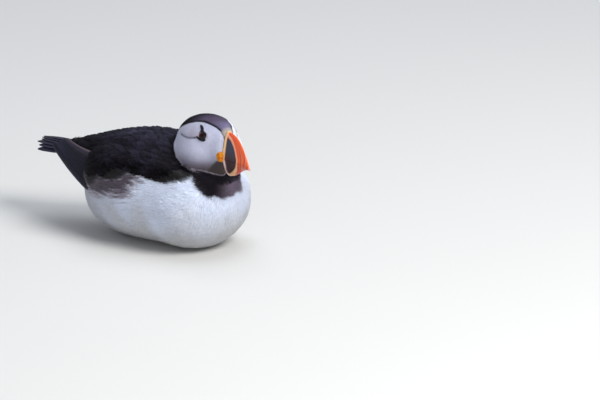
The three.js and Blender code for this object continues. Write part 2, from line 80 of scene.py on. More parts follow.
SKIN_VOXEL = 1.6
SKIN_SWELL = 0.5  # closes the gaps between the flesh nodes
FACE_FOLD = np.array([[-29.0, 30, -7], [-10, 20, -14]])  # where the neck folds in under the face
FACE_FOLD_DEPTH = 3.2
FOLDED_NODES = ["neck", "mantle", "trunk"]
BODY_COAT = 2.8  # how deep the skin lies under the tips of the feathers
BACK_COAT = 1.5
HEAD_COAT = 1.1
BARE_COAT = 0.5  # by the bill and the eye
FLOOR_CLEARANCE = 0.15  # how far the lowest feathers stay over the floor

VANE_MAP_SIZE = 0.003  # the side of each feather's patch in its piece's map
MOST_TRIANGLES = 190_000  # for each piece of a coat

# The grey face, as X in the head's frame and degrees round its long axis from the crown.
FACE_EDGE = [
    [9, 26], [2.5, 20.9], [-1.1, 19], [-5.5, 19.6], [-9.9, 21.2], [-15.5, 22.5], [-21.9, 24.8],
    [-27.7, 29.6], [-33.4, 36.8], [-38.6, 43.5], [-44.8, 50], [-49.6, 55.2], [-51.4, 63],
    [-51.4, 74], [-49.4, 83], [-45.3, 90.5], [-39.7, 97.5], [-35, 104.5], [-28.3, 112],
    [-23.1, 116.8], [-19.7, 121.2], [-16.3, 126.3], [-12.7, 132.8], [-9.5, 139.5], [-5.8, 148.5],
    [-2.5, 158], [0.2, 166], [3, 170], [9, 171],
]
FACE_AXIS_Z = 5.0
FACE_ROUND = 24.0  # about how far the face lies from its long axis
FACE_HALF_WIDTH = 34.0
FACE_BOTTOM = -21.0  # height in the head's frame
LEFT_EDGE_LOWER = 10.0  # degrees by which the face's upper edge lies lower on the left
CREASE = [[-43, 17.6], [-38.5, 16.2], [-31.3, 15.4], [-25.3, 15.2], [-20.6, 15.6]]  # behind the eye
SMUDGE = [  # under the rosette
    [5, -3], [0, -2], [-2.6, -3], [-5.3, -6], [-7.4, -9.4], [-9, -12.8], [-8, -16.4], [-4, -18.6], [5, -19],
]

# Where black meets white on the body: a plane at the front of the neck and a line along the flank.
COLLAR_AT = np.array([69.0, -22.0, 52.6])
COLLAR_NORMAL = np.array([0.68, -0.13, 0.72])
FLANK_LINE_X = [-125, -94, -75, -58, -51, -47, -39, -28, -23, -14, -7, 1, 10, 19, 28, 37, 44, 47, 50, 56]
FLANK_LINE_Z = [
    66, 62, 55, 50, 49, 53, 59.5, 59.8, 60.5, 64.5, 67.4, 67.8, 66.4, 64, 64.3, 66.4, 68.4, 70, 76, 110,
]
BROWN_EDGE = [  # the brown patch on the flank, X and Z
    [-58, 47], [-52, 42], [-42, 43], [-33, 45.5], [-18, 46.6], [-8, 49], [-3.5, 54.5], [0, 60], [5, 66],
    [-7, 71], [-23, 66], [-38, 65], [-52, 58],
]


# ---- small mathematics ----
def smooth(t):
    t = np.clip(t, 0.0, 1.0)
    return t * t * (3 - 2 * t)


def mix(a, b, t):
    """Colours or points from a to b as t goes from 0 to 1, with one value of t for each row."""
    t = np.asarray(t)[..., None]
    return a * (1 - t) + b * t


def unit(v):
    return v / np.maximum(np.linalg.norm(v, axis=-1, keepdims=True), 1e-9)


def turned(degrees, axis):
    """A rotation matrix about X, Y or Z (0, 1 or 2)."""
    c, s = math.cos(math.radians(degrees)), math.sin(math.radians(degrees))
    m = np.eye(3)
    a, b = (axis + 1) % 3, (axis + 2) % 3
    m[a, a] = m[b, b] = c
    m[a, b], m[b, a] = -s, s
    return m


HEAD_AXES = turned(HEAD_TURN, 2) @ turned(HEAD_NOD, 1)


def to_head(p):
    return (p - HEAD_AT) @ HEAD_AXES


def to_left_of_head(p):
    """The head's frame with the right side laid over the left one."""
    q = to_head(p)
    q[:, 1] = np.abs(q[:, 1])
    return q


def from_head(q):
    return q @ HEAD_AXES.T + HEAD_AT


def colour(red, green, blue):
    """Linear light from the usual 0 to 255."""
    c = np.array([red, green, blue]) / 255
    return np.where(c <= 0.04045, c / 12.92, ((c + 0.055) / 1.055) ** 2.4)


def ripple(points, length, seed):
    """Smooth noise, mostly within -1 and 1, whose waves are about length long."""
    rng = np.random.default_rng(seed)
    waves = unit(rng.normal(size=(9, 3))) * rng.uniform(0.7, 1.5, (9, 1)) * 2 * np.pi / length
    return np.sin(points @ waves.T + rng.uniform(0, 2 * np.pi, 9)).sum(1) / 2.6


def turns(count):
    """Even steps round a circle."""
    return np.arange(count) * 2 * np.pi / count


def rings(steps, around):
    """The step and the turn at each point of a grid of rings."""
    return np.meshgrid(steps, turns(around), indexing="ij")


def curve_through(points, steps=8, closed=False):
    """Points along a smooth curve through the given ones (Catmull-Rom)."""
    p = np.asarray(points, float)
    n = len(p)
    spans = range(n) if closed else range(n - 1)
    pick = (lambda i: p[i % n]) if closed else (lambda i: p[min(max(i, 0), n - 1)])
    out = []
    for i in spans:
        a, b, c, d = pick(i - 1), pick(i), pick(i + 1), pick(i + 2)
        for t in np.arange(steps) / steps:
            square, cube = (2 * a - 5 * b + 4 * c - d) * t**2, (3 * b - a - 3 * c + d) * t**3
            out.append(0.5 * (2 * b + (c - a) * t + square + cube))
    if not closed:
        out.append(p[-1])
    return np.array(out)


def distance_to(line, x, y):
    """How far each point (x, y) is from a line of points, in their plane."""
    best = np.full(np.shape(x), 1e9)
    for a, b in zip(line[:-1], line[1:]):
        d = b - a
        t = np.clip(((x - a[0]) * d[0] + (y - a[1]) * d[1]) / max(d @ d, 1e-9), 0, 1)
        best = np.minimum(best, np.hypot(x - a[0] - t * d[0], y - a[1] - t * d[1]))
    return best


def outside(line, x, y):
    """Signed distance from a closed outline, negative inside it."""
    inside = np.zeros(np.shape(x), bool)
    ring = np.vstack([line, line[:1]])
    for a, b in zip(ring[:-1], ring[1:]):
        crosses = (a[1] > y) != (b[1] > y)
        rise = b[1] - a[1] if b[1] != a[1] else 1e-9
        inside ^= crosses & (x < (b[0] - a[0]) * (y - a[1]) / rise + a[0])
    return distance_to(ring, x, y) * np.where(inside, -1, 1)


FACE_LINE = curve_through(FACE_EDGE, 6, closed=True) * [1, np.radians(FACE_ROUND)]
SMUDGE_LINE = curve_through(SMUDGE, 5, closed=True)
CREASE_LINE = curve_through(CREASE, 5)
BROWN_LINE = curve_through(BROWN_EDGE, 4, closed=True)

# ---- the plumage's pattern, with painted light and shade, the same for skin and feathers ----
# painted light on the white: a bluish sky light high on the belly, painted shade low down and towards the
# rear
WHITE_SKY_LIT = colour(224, 233, 252)
WHITE_LOW_SHADE = colour(203, 204, 208)
WHITE_REAR_SHADE = colour(188, 191, 203)
# painted sheen: the paler, bluer black at the top of the back stands in for the sky's reflection
BACK_SKY_SHEEN = colour(42, 40, 54)
BLACK_WING = colour(10, 6, 8)
COLLAR_BLACK = colour(32, 27, 35)
COLLAR_FRONT = colour(124, 112, 130)
CROWN = colour(97, 86, 109)
CROWN_PALE = colour(206, 196, 182)
CROWN_FRONT_SHEEN = colour(128, 124, 156)
NAPE = colour(24, 21, 26)
FACE_PALE = colour(218, 220, 242)
# painted light: the left side of the face is painted whiter than the right
FACE_LEFT_PAINTED_LIGHT = colour(244, 246, 252)
# the face's grey, partly its own colour and partly painted shade, darker low down and towards the back
FACE_GREY_AND_SHADE = colour(124, 120, 140)
FACE_LOW_SHADE = colour(88, 78, 84)
FACE_RIM = colour(176, 168, 186)
SMUDGE_DARK = colour(66, 56, 55)
CREASE_SHADE = colour(52, 56, 78)
BY_EYE = colour(176, 158, 178)
FLANK_BROWN = colour(80, 70, 82)
FLANK_PALE = colour(160, 150, 164)
BILL_SHADE = colour(120, 104, 104)


def flank_line(x):
    """How high the border of black and white lies on the flank."""
    return np.interp(x, FLANK_LINE_X, FLANK_LINE_Z)


def past_collar(p):
    """Distance in front of the plane of the collar, positive on the black of the neck."""
    return (p - COLLAR_AT) @ COLLAR_NORMAL


def body_marks_and_painted_light(p):
    x, y, z = p.T
    # painted shade: the white darkens towards the bottom and the rear, under a painted bluish sky light
    # higher up
    low = smooth((52 - z) / 44 + 0.16 * ripple(p, 34, 3))
    shade = mix(WHITE_SKY_LIT, WHITE_LOW_SHADE, low)
    shade = mix(shade, WHITE_REAR_SHADE, 0.8 * smooth((-6 - x) / 60))
    strands = ripple(p * [0.3, 1, 1.4], 5, 5) + 0.5 * ripple(p * [0.5, 1, 1], 2.5, 6)
    inwards = -outside(BROWN_LINE, x, z) + 2.2 * strands
    shade = mix(shade, FLANK_PALE, 0.8 * smooth((inwards + 5) / 6))
    shade = mix(shade, FLANK_BROWN, 0.95 * smooth((inwards + 0.5) / 6))
    # painted light: the back's black turns to a painted sky sheen towards the top, with painted shade on
    # the mantle next to the head
    high = smooth((z - 77) / 21) * (1 - 0.6 * smooth((x - 4) / 24))
    high = high + 0.14 * ripple(p, 30, 7) + 0.14 * ripple(p * [0.35, 1, 1], 7, 8)
    back = mix(BLACK_WING, BACK_SKY_SHEEN, np.clip(high, 0, 1.2))
    ragged = 0.7 * ripple(p, 9, 11) + 0.6 * ripple(p, 3.5, 12)
    shade = mix(shade, back, smooth(0.5 + (z - flank_line(x) + ragged) / 2.2))
    collar = past_collar(p) + 0.4 * ripple(p, 11, 13)
    collar = collar + 0.7 + 2.0 * smooth(y / 9) + 1.2 * smooth((-22 - y) / 12)
    neck = mix(COLLAR_BLACK, COLLAR_FRONT, 0.8 * smooth((to_head(p)[:, 1] + 14) / 22 - (z - 60) / 60))
    return mix(shade, neck, smooth(0.5 + collar / 1.4) * (x > 30))


def from_face_edge(q):
    """Distance over the skin from the edge of the grey face, negative inside it."""
    x, y, z = q.T
    around = np.arctan2(np.abs(y), z - FACE_AXIS_Z)
    lower_on_left = np.radians(LEFT_EDGE_LOWER) * smooth(y / 6) * smooth(-x / 13)
    lower_on_left *= smooth((0.9 - around) / 0.6)
    return outside(FACE_LINE, x, FACE_ROUND * (around - lower_on_left))


def head_marks_and_painted_light(p):
    """Colours, with painted light and shade, as if every point were on the head, and how surely each one is
    on the grey face.
    """
    q = to_head(p)
    x, y, z = q.T
    edge = from_face_edge(q) + 0.12 * ripple(p, 5, 17)
    near_head = (np.hypot(y, z - FACE_AXIS_Z) < FACE_HALF_WIDTH) & (z > FACE_BOTTOM)
    on_face = smooth(0.5 - edge / 0.7) * near_head
    # partly painted shade: the face greys towards the back, the bottom and above and behind the eye, and is
    # darker and browner at its lowest part
    grey_and_shade = 0.22 * smooth((-8 - x) / 26) + 0.95 * smooth((8 - z) / 19)
    grey_and_shade = grey_and_shade + 0.16 * smooth((z - 12) / 8) * smooth((-10 - x) / 12)
    face = mix(FACE_PALE, FACE_GREY_AND_SHADE, np.minimum(grey_and_shade, 1))
    face = mix(face, FACE_LOW_SHADE, 0.9 * smooth((-1 - z) / 10) * smooth((x + 40) / 20))
    # painted light: whiter on the left side of the head
    face = mix(face, FACE_LEFT_PAINTED_LIGHT, smooth((y - 3) / 5))
    by_eye = np.hypot(x + 25.5, (z - 18.5) * 1.3)
    face = mix(face, BY_EYE, 0.6 * smooth(1 - by_eye / 7.5))
    face = mix(face, SMUDGE_DARK, 0.95 * smooth(0.5 - outside(SMUDGE_LINE, x, z) / 2.6))
    # painted shade in the crease behind the eye
    crease = distance_to(CREASE_LINE, x, z) / np.interp(x, [-43, -32, -21], [0.3, 0.6, 0.7])
    face = mix(face, CREASE_SHADE, 0.9 * smooth(1.6 - crease))
    rim = smooth(1.5 - np.abs(edge + 0.6) / 0.26) * smooth((12 - z) / 10)
    face = mix(face, FACE_RIM, 0.6 * rim)
    face = mix(face, BILL_SHADE, 0.7 * smooth((x - 1.2) / 1.6) * smooth((4 - z) / 6))
    crown = mix(NAPE, CROWN, smooth((x + 44) / 24) * smooth((edge - 0.8) / 3))
    # painted sheen: the crown is paler and bluer towards the forehead, as the sky's reflection
    crown = mix(crown, CROWN_FRONT_SHEEN, 0.85 * smooth((x + 20) / 20) * smooth((edge - 0.8) / 2.2))
    over_bill = np.linalg.norm((q - [3, 0, 21]) / [5, 7, 5], axis=1)
    crown = mix(crown, CROWN_PALE, 0.75 * smooth(1.4 - over_bill))
    crown = mix(crown, COLLAR_BLACK, smooth((-4 - z) / 6))
    return mix(crown, face, on_face), on_face


def marks_and_painted_light(p, headness):
    head = head_marks_and_painted_light(p)[0]
    return mix(body_marks_and_painted_light(p), head, smooth((headness - 0.4) / 0.3))


# ---- meshes ----
def placed(name, data):
    obj = bpy.data.objects.new(name, data)
    bpy.context.scene.collection.objects.link(obj)
    return obj


def new_object(name, points, faces):
    """A smooth-shaded object from points in millimetres and faces that all have as many corners."""
    faces = np.asarray(faces, np.int32)
    mesh = bpy.data.meshes.new(name)
    mesh.vertices.add(len(points))
    mesh.vertices.foreach_set("co", (np.asarray(points) * MM).astype(np.float32).ravel())
    mesh.loops.add(faces.size)
    mesh.loops.foreach_set("vertex_index", faces.ravel())
    mesh.polygons.add(len(faces))
    mesh.polygons.foreach_set("loop_start", np.arange(len(faces), dtype=np.int32) * faces.shape[1])
    mesh.update(calc_edges=True)
    mesh.shade_smooth()
    return placed(name, mesh)


def paint(obj, colours):
    """One colour for each point, as the attribute that the materials read."""
    layer = obj.data.attributes.new("Tint", "FLOAT_COLOR", "POINT")
    rgba = np.ones((len(colours), 4), np.float32)
    rgba[:, :3] = colours
    layer.data.foreach_set("color", rgba.ravel())


def add_map(obj, name, uv):
    """A UV map from one place for each point."""
    mesh = obj.data
    corner = np.empty(len(mesh.loops), np.int32)
    mesh.loops.foreach_get("vertex_index", corner)
    layer = mesh.uv_layers.new(name=name)
    layer.data.foreach_set("uv", uv[corner].astype(np.float32).ravel())


def finished(obj, material, slot, *nodes):
    obj.data.materials.append(material)
    if nodes:
        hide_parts(*nodes)
    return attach(obj, "root")


def painted(name, points, faces, shades, material, slot, *nodes):
    """A finished piece of its own from points, faces and a colour for each point."""
    obj = new_object(name, points, faces)
    paint(obj, shades)
    return finished(obj, material, slot, *nodes)


def points_of(mesh):
    co = np.empty(len(mesh.vertices) * 3, np.float32)
    mesh.vertices.foreach_get("co", co)
    return co.reshape(-1, 3).astype(float) / MM


def triangles_of(mesh):
    mesh.calc_loop_triangles()
    index = np.empty(len(mesh.loop_triangles) * 3, np.int32)
    mesh.loop_triangles.foreach_get("vertices", index)
    return index.reshape(-1, 3)


def normals_of(points, triangles):
    a, b, c = (points[triangles[:, i]] for i in range(3))
    face = np.cross(b - a, c - a)
    out = np.zeros_like(points)
    for i in range(3):
        for m in range(3):
            out[:, m] += np.bincount(triangles[:, i], face[:, m], len(points))
    return unit(out)


def grid_faces(rows, columns, wrap=False):
    """Quads of a grid of points, row by row."""
    across = columns if wrap else columns - 1
    i, j = np.meshgrid(np.arange(rows - 1), np.arange(across), indexing="ij")
    i, j = i.ravel(), j.ravel()
    k = (j + 1) % columns
    return np.stack([i * columns + j, i * columns + k, (i + 1) * columns + k, (i + 1) * columns + j], 1)


# ---- skin ----
def under_face(p):
    """1 where the neck and the mantle meet the lower edge of the face, 0 away from it."""
    q = to_left_of_head(p)
    a, b = FACE_FOLD
    along = np.clip(((q - a) @ (b - a)) / ((b - a) @ (b - a)), 0, 1)
    return smooth((17 - np.linalg.norm(q - a - along[:, None] * (b - a), axis=1)) / 9)


def swollen(name, by):
    bm = bmesh.new()
    bm.from_mesh(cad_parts[name].data)
    bmesh.ops.remove_doubles(bm, verts=bm.verts, dist=1e-6)
    bmesh.ops.triangulate(bm, faces=bm.faces)
    bm.normal_update()
    points = np.array([v.co + v.normal * by * MM for v in bm.verts]) / MM
    outwards = np.array([v.normal for v in bm.verts])
    triangles = np.array([[v.index for v in f.verts] for f in bm.faces])
    bm.free()
    if name in FOLDED_NODES:
        points = points - outwards * (FACE_FOLD_DEPTH * under_face(points))[:, None]
    return points, triangles


def voxel_union(names):
    parts = [swollen(name, SKIN_SWELL) for name in names]
    starts = np.cumsum([0] + [len(p) for p, _ in parts[:-1]])
    points = np.vstack([p for p, _ in parts])
    triangles = np.vstack([t + s for (_, t), s in zip(parts, starts)])
    rough = new_object("rough_skin", points, triangles)
    remesh = rough.modifiers.new("union", "REMESH")
    remesh.mode = "VOXEL"
    remesh.voxel_size = SKIN_VOXEL * MM
    ready = rough.evaluated_get(bpy.context.evaluated_depsgraph_get()).to_mesh()
    result = points_of(ready), triangles_of(ready), np.array([e.vertices[:] for e in ready.edges])
    bpy.data.objects.remove(rough)
    return result


def relaxed(values, edges, rounds, weight=0.5):
    """Each value drawn towards the mean of its neighbours, round after round."""
    n = len(values)
    a, b = edges.T
    degree = np.bincount(edges.ravel(), minlength=n)[:, None]
    for _ in range(rounds):
        total = np.stack([np.bincount(a, v[b], n) + np.bincount(b, v[a], n) for v in values.T], 1)
        values = values + weight * (total / degree - values)
    return values


def surface(points, triangles):
    return BVHTree.FromPolygons(points.tolist(), triangles.tolist())


def distances(tree, points):
    """Signed distance of each point from a closed surface, positive outside."""
    out = np.empty(len(points))
    for i, p in enumerate(points):
        at, normal, _, far = tree.find_nearest(Vector(p))
        out[i] = far if (Vector(p) - at).dot(normal) > 0 else -far
    return out


def coat_depth(p, headness):
    q = to_left_of_head(p)
    back = smooth((p[:, 2] - flank_line(p[:, 0])) / 8)
    body = BODY_COAT + (BACK_COAT - BODY_COAT) * back
    depth = body + (HEAD_COAT - body) * smooth(headness)
    eye = np.linalg.norm(q - EYE_AT, axis=1)
    bare = np.maximum(smooth((q[:, 0] + 7) / 8) * (headness > 0.5), smooth((9 - eye) / 4))
    return depth + (BARE_COAT - depth) * bare


def make_skin():
    fillers = [f"{name}_{side}" for name in POCKET_FILLERS for side in SIDES]
    shell, triangles, edges = voxel_union(FLESH + fillers)
    tree = surface(shell, triangles)
    far = np.array([distances(surface(*swollen(name, 0)), shell) for name in FLESH])
    on_head = (np.abs(far).argmin(0) == FLESH.index("head")).astype(float)
    headness = relaxed(on_head[:, None], edges, 6)[:, 0]

    points = relaxed(shell, edges, 14)
    calm = 0.5 * (1 - smooth(headness))[:, None]  # the trunk's facets are larger than the head's
    points = relaxed(points, edges, 22, calm)
    gap = relaxed(distances(tree, points)[:, None], edges, 16)[:, 0]
    inwards = gap + SKIN_SWELL + coat_depth(points, headness)
    points = points - normals_of(points, triangles) * inwards[:, None]
    points = relaxed(points, edges, 3)
    return points, triangles, edges, headness


class Field:
    """Distance and outward direction from the skin at any point near it, from a grid of samples."""

    CELL = 2.4
    MARGIN = 16.0

    def __init__(self, points, triangles):
        tree = surface(points, triangles)
        self.low = points.min(0) - self.MARGIN
        self.count = np.ceil((points.max(0) + self.MARGIN - self.low) / self.CELL).astype(int) + 1
        axes = [self.low[m] + self.CELL * np.arange(self.count[m]) for m in range(3)]
        nodes = np.stack(np.meshgrid(*axes, indexing="ij"), -1).reshape(-1, 3)
        value = distances(tree, nodes).reshape(self.count)
        slope = np.stack(np.gradient(value, self.CELL), -1)
        self.samples = np.concatenate([value[..., None], slope], -1)

    def at(self, p):
        g = (p - self.low) / self.CELL
        cell = np.clip(np.floor(g).astype(int), 0, self.count - 2)
        f = np.clip(g - cell, 0, 1)
        total = 0
        for corner in np.ndindex(2, 2, 2):
            near = np.prod(np.where(corner, f, 1 - f), axis=1)
            total = total + near[:, None] * self.samples[tuple((cell + corner).T)]
        return total[:, 0], unit(total[:, 1:])


# ---- how the feathers lie ----
def flow(p, n, headness):
    """The way that the feathers point, in the plane of the skin."""
    x, y, z = p.T
    back = np.tile([-1.0, 0.0, -0.1], (len(p), 1))
    breast = np.tile([-0.2, 0.0, -1.0], (len(p), 1))
    body = mix(back, breast, smooth((x - 44) / 30))
    body[:, 1] += 0.22 * np.sign(y) * smooth((30 - x) / 60) * smooth((40 - z) / 30)
    q = to_head(p)
    crown = np.array([-1.0, 0.0, 0.5])
    cheek = np.array([-1.0, 0.0, -0.55])
    chin = np.array([-1.0, 0.0, -0.2])
    head = mix(np.tile(crown, (len(p), 1)), cheek, smooth((16 - q[:, 2]) / 20))
    head = mix(head, chin, smooth((-10 - q[:, 2]) / 6)) @ HEAD_AXES.T
    way = mix(body, head, smooth(headness * 1.6 - 0.3))
    way = unit(way - n * (way * n).sum(1)[:, None])
    swing = 0.24 * ripple(p, 26, 21) + 0.12 * ripple(p, 9, 22)
    return unit(way + np.cross(n, way) * swing[:, None])


class Skin:
    """The skin's mesh, its field, and roots scattered over it."""

    SOUND_FACING = 2.2  # of 3; less than that is a fold too tight for feathers

    def __init__(self):
        self.points, self.triangles, self.edges, self.headness = make_skin()
        self.normals = normals_of(self.points, self.triangles)
        self.field = Field(self.points, self.triangles)

    def scatter(self, density, seed):
        """Evenly spread roots: density gives how many for each square millimetre at a point."""
        rng = np.random.default_rng(seed)
        corners = self.points[self.triangles]
        first, second, third = corners[:, 0], corners[:, 1], corners[:, 2]
        area = np.linalg.norm(np.cross(second - first, third - first), axis=1) / 2
        heads = self.headness[self.triangles].mean(1)
        count = np.cumsum(area * density(corners.mean(1), heads))
        total = int(count[-1])
        chosen = np.searchsorted(count, (np.arange(total) + rng.random(total)) * count[-1] / total)
        chosen = np.minimum(chosen, len(area) - 1)
        a, b = rng.random((2, total))
        flip = a + b > 1
        a, b = np.where(flip, 1 - a, a), np.where(flip, 1 - b, b)
        shares = np.stack([1 - a - b, a, b], 1)[..., None]
        corner = self.triangles[chosen]
        root = (self.points[corner] * shares).sum(1)
        heads = (self.headness[corner] * shares[..., 0]).sum(1)
        facing = (self.field.at(root)[1] * self.normals[corner].sum(1)).sum(1)
        sound = facing > self.SOUND_FACING
        return root[sound], heads[sound], rng


def thinned(points, spacing, rng):
    """Indices of points that keep at least spacing from each other, taken in random order."""
    cells = {}
    kept = []
    keys = np.floor(points / spacing.max()).astype(int)
    around = [(i, j, k) for i in (-1, 0, 1) for j in (-1, 0, 1) for k in (-1, 0, 1)]
    for i in rng.permutation(len(points)):
        key = tuple(keys[i])
        places = [tuple(k + step for k, step in zip(key, a)) for a in around]
        near = [n for place in places for n in cells.get(place, ())]
        if near and (((points[near] - points[i]) ** 2).sum(1) < spacing[i] ** 2).any():
            continue
        cells.setdefault(key, []).append(i)
        kept.append(i)
    return np.array(kept)


def by_face_edge(p):
    """1 at the edge of the grey face, 0 further off than a few millimetres."""
    return smooth(1.4 - np.abs(from_face_edge(to_head(p))) / 2.4)


def streakiness(p):
    """1 in the brown patch on the flank, where pale and dark feathers mix."""
    return smooth(1 - outside(BROWN_LINE, p[:, 0], p[:, 2]) / 5) * smooth(p[:, 2] / 30)


# ---- feathers: thin vanes that follow the skin ----
class Vanes:
    """A coat of vanes with the same number of faces. A profile gives the half width along a vane."""

    FULLNESS = 0.75  # the power of a vane's rise to its height
    ROUNDNESS = 0.35  # how far its normals lean to its sides
    STIFF_SINK = 0.12  # how much of each step a stiff vane may follow the skin down

    def __init__(self, skin, root, heads, length, width, lift, rng, rows, columns, profile,
                 arch, sunk=0.5, stiff=False, stray=0.16):
        self.skin, self.root, self.heads = skin, root, heads
        self.length, self.width, self.lift = length, width, lift
        self.rows, self.columns, self.profile = rows, columns, profile
        self.arch, self.sunk, self.stiff, self.stray = arch, sunk, stiff, stray
        self.rng = rng
        self.comb()

    def comb(self):
        """Lead each vane over the skin from its root, a step at a time."""
        n = len(self.root)
        far, normal = self.skin.field.at(self.root)
        way = flow(self.root, normal, self.heads)
        side = np.cross(normal, way)
        way = unit(way + side * self.rng.normal(0, self.stray, n)[:, None])
        p = self.root - normal * (far + self.sunk)[:, None]
        spine, normals, sides = [p], [normal], [np.cross(normal, way)]
        step = (self.length / self.rows)[:, None]
        for k in range(1, self.rows + 1):
            p = p + way * step
            far, normal = self.skin.field.at(p)
            height = -self.sunk + (self.lift + self.sunk) * (k / self.rows) ** self.FULLNESS
            move = height - far
            if self.stiff:
                move = np.maximum(move, -self.STIFF_SINK * self.length / self.rows)
            p = p + normal * move[:, None]
            way = unit(way - normal * (way * normal).sum(1)[:, None])
            spine.append(p)
            normals.append(normal)
            sides.append(np.cross(normal, way))
        self.spine, self.normals, self.sides = (np.stack(a, 1) for a in (spine, normals, sides))

    def build(self, name, chosen, tint):
        """One piece of the coat from the chosen vanes. tint gives the colours at all the vanes' points."""
        s = np.linspace(0, 1, self.rows + 1)
        v = np.linspace(-1, 1, self.columns + 1)
        half = self.width[chosen, None] * self.profile(s)[None] / 2
        across = half[..., None] * v
        spine, normal, side = (a[chosen][:, :, None] for a in (self.spine, self.normals, self.sides))
        drop = self.arch * half[..., None] * v**2
        points = spine + side * across[..., None] - normal * drop[..., None]
        points[..., 2] = np.maximum(points[..., 2], FLOOR_CLEARANCE)
        bent = normal + side * (self.ROUNDNESS * v)[:, None]
        count = len(chosen)
        each = (self.rows + 1) * (self.columns + 1)
        faces = grid_faces(self.rows + 1, self.columns + 1)[None, :, ::-1]
        faces = faces + np.arange(count)[:, None, None] * each
        obj = new_object(name, points.reshape(-1, 3), faces.reshape(-1, 4))
        obj.data.normals_split_custom_set_from_vertices(unit(bent).reshape(-1, 3))
        grid = np.stack(np.broadcast_arrays(v[None] * 0.5 + 0.5, s[:, None]), -1)
        root_at = fitted(unwrapped(self.root[chosen]))
        patch = root_at[:, None, None] + (grid - 0.5) * VANE_MAP_SIZE
        add_map(obj, "OFBake", patch.reshape(-1, 2))
        add_map(obj, "Vane", np.broadcast_to(grid, (count,) + grid.shape).reshape(-1, 2))
        paint(obj, tint(chosen, s, v).reshape(-1, 3))
        return obj


def unwrapped(p):
    """The skin laid out flat: directions from the body's middle, unfolded as an octahedron."""
    d = (p - BODY_CENTRE) / BODY_RADII
    d = d / np.abs(d).sum(1)[:, None]
    x, y, z = d.T
    fold = z < 0
    u = np.where(fold, (1 - np.abs(y)) * np.where(x < 0, -1, 1), x)
    w = np.where(fold, (1 - np.abs(x)) * np.where(y < 0, -1, 1), y)
    return np.stack([u, w], 1) * 0.5 + 0.5


def fitted(uv):
    """A piece's own part of the unwrap, spread over its map with a margin."""
    low, high = uv.min(0), uv.max(0)
    margin = 2 * VANE_MAP_SIZE
    return margin + (uv - low) / (high - low).max() * (1 - 2 * margin)


def coat(name, vanes, tint, material, slot):
    """The vanes as pieces from front to back, each of them under the limit of triangles."""
    order = np.argsort(-vanes.root[:, 0])
    each = vanes.rows * vanes.columns * 2
    pieces = math.ceil(len(order) * each / MOST_TRIANGLES)
    for i, chosen in enumerate(np.array_split(order, pieces)):
        finished(vanes.build(f"{name}_{i + 1}", chosen, tint), material, slot)


def vane_colours(vanes, spread, fringe=None, fringe_share=0.0, shaft=0.0, along=0.5):
    """Each vane takes the colours under it, painted light and shade among them, partly those under its
    middle, in a tone of its own.
    """
    middle = vanes.spine[:, (vanes.rows + 1) // 2 + 1 if vanes.rows > 2 else 1]
    own_spread = spread + 0.2 * streakiness(middle)
    tone = 1 + vanes.rng.normal(0, 1, len(middle)) * own_spread + 0.5 * spread * ripple(middle, 13, 31)
    heads = np.repeat(vanes.heads, vanes.rows + 1)
    under = marks_and_painted_light(vanes.spine.reshape(-1, 3), heads).reshape(vanes.spine.shape)
    base = mix(marks_and_painted_light(middle, vanes.heads)[:, None], under, along)
    base = base * np.clip(tone, 0.4, 1.9)[:, None, None]

    def tint(chosen, s, v):
        own = np.repeat(base[chosen][:, :, None], len(v), axis=2)
        if fringe is not None:
            share = fringe_share * smooth((s - 0.72) / 0.28)[None, :, None]
            own = mix(own, fringe, np.broadcast_to(share, own.shape[:3]))
        own *= (0.86 + 0.14 * smooth(s / 0.6))[None, :, None, None]
        return own * (1 + shaft * (1 - np.abs(v)))[None, None, :, None]

    return tint


def pointed(s):
    return np.sqrt(np.clip(1 - s**2.2, 0.02, 1)) * (0.55 + 0.45 * smooth(s / 0.3))


def rounded(s):
    return np.sqrt(np.clip(1 - s**4.5, 0.05, 1)) * (0.5 + 0.5 * smooth(s / 0.45))


def whiteness(p):
    """1 on the white of the trunk, 0 on the black."""
    x, z = p[:, 0], p[:, 2]
    return smooth(0.5 - (z - flank_line(x)) / 3) * np.where(x > 30, smooth(0.5 - past_collar(p) / 2), 1)


def by_bill_or_eye(p):
    """1 next to the bill and the eye, 0 further off than a few millimetres."""
    q = to_left_of_head(p)
    eye = np.linalg.norm(q - EYE_AT, axis=1)
    return np.maximum(smooth((q[:, 0] + 9) / 9), smooth((11 - eye) / 5))


# ---- materials ----
def shader(name, roughness, **sockets):
    """A material, its nodes and its Principled shader. Sockets are named with underscores."""
    material = bpy.data.materials.new(name)
    material.use_nodes = True
    tree = material.node_tree
    principled = tree.nodes["Principled BSDF"]
    principled.inputs["Roughness"].default_value = roughness
    for socket, value in sockets.items():
        principled.inputs[socket.replace("_", " ")].default_value = value
    return material, tree, principled


def node(tree, kind, inputs=None, **settings):
    made = tree.nodes.new(f"ShaderNode{kind}")
    for setting, value in settings.items():
        setattr(made, setting, value)
    for socket, value in (inputs or {}).items():
        if isinstance(value, bpy.types.NodeSocket):
            tree.links.new(value, made.inputs[socket])
        else:
            made.inputs[socket].default_value = value
    return made


def tint_of(tree):
    return node(tree, "Attribute", attribute_name="Tint").outputs["Color"]


def noise(tree, scale, detail=3.0, stretch=None):
    """Noise in the object's own space, scale in waves for each metre."""
    place = node(tree, "TexCoord").outputs["Object"]
    if stretch:
        place = node(tree, "Mapping", {"Vector": place, "Scale": stretch}).outputs["Vector"]
    return node(tree, "TexNoise", {"Vector": place, "Scale": scale, "Detail": detail}).outputs["Fac"]


def ranged(tree, value, low, high, start=0.0, end=1.0):
    """The value between start and end turned into a range."""
    limits = {"From Min": start, "From Max": end, "To Min": low, "To Max": high}
    return node(tree, "MapRange", {"Value": value, **limits}).outputs["Result"]


def scaled(tree, shade, factor):
    made = node(tree, "VectorMath", {0: shade}, operation="SCALE")
    tree.links.new(factor, made.inputs["Scale"])
    return made.outputs["Vector"]


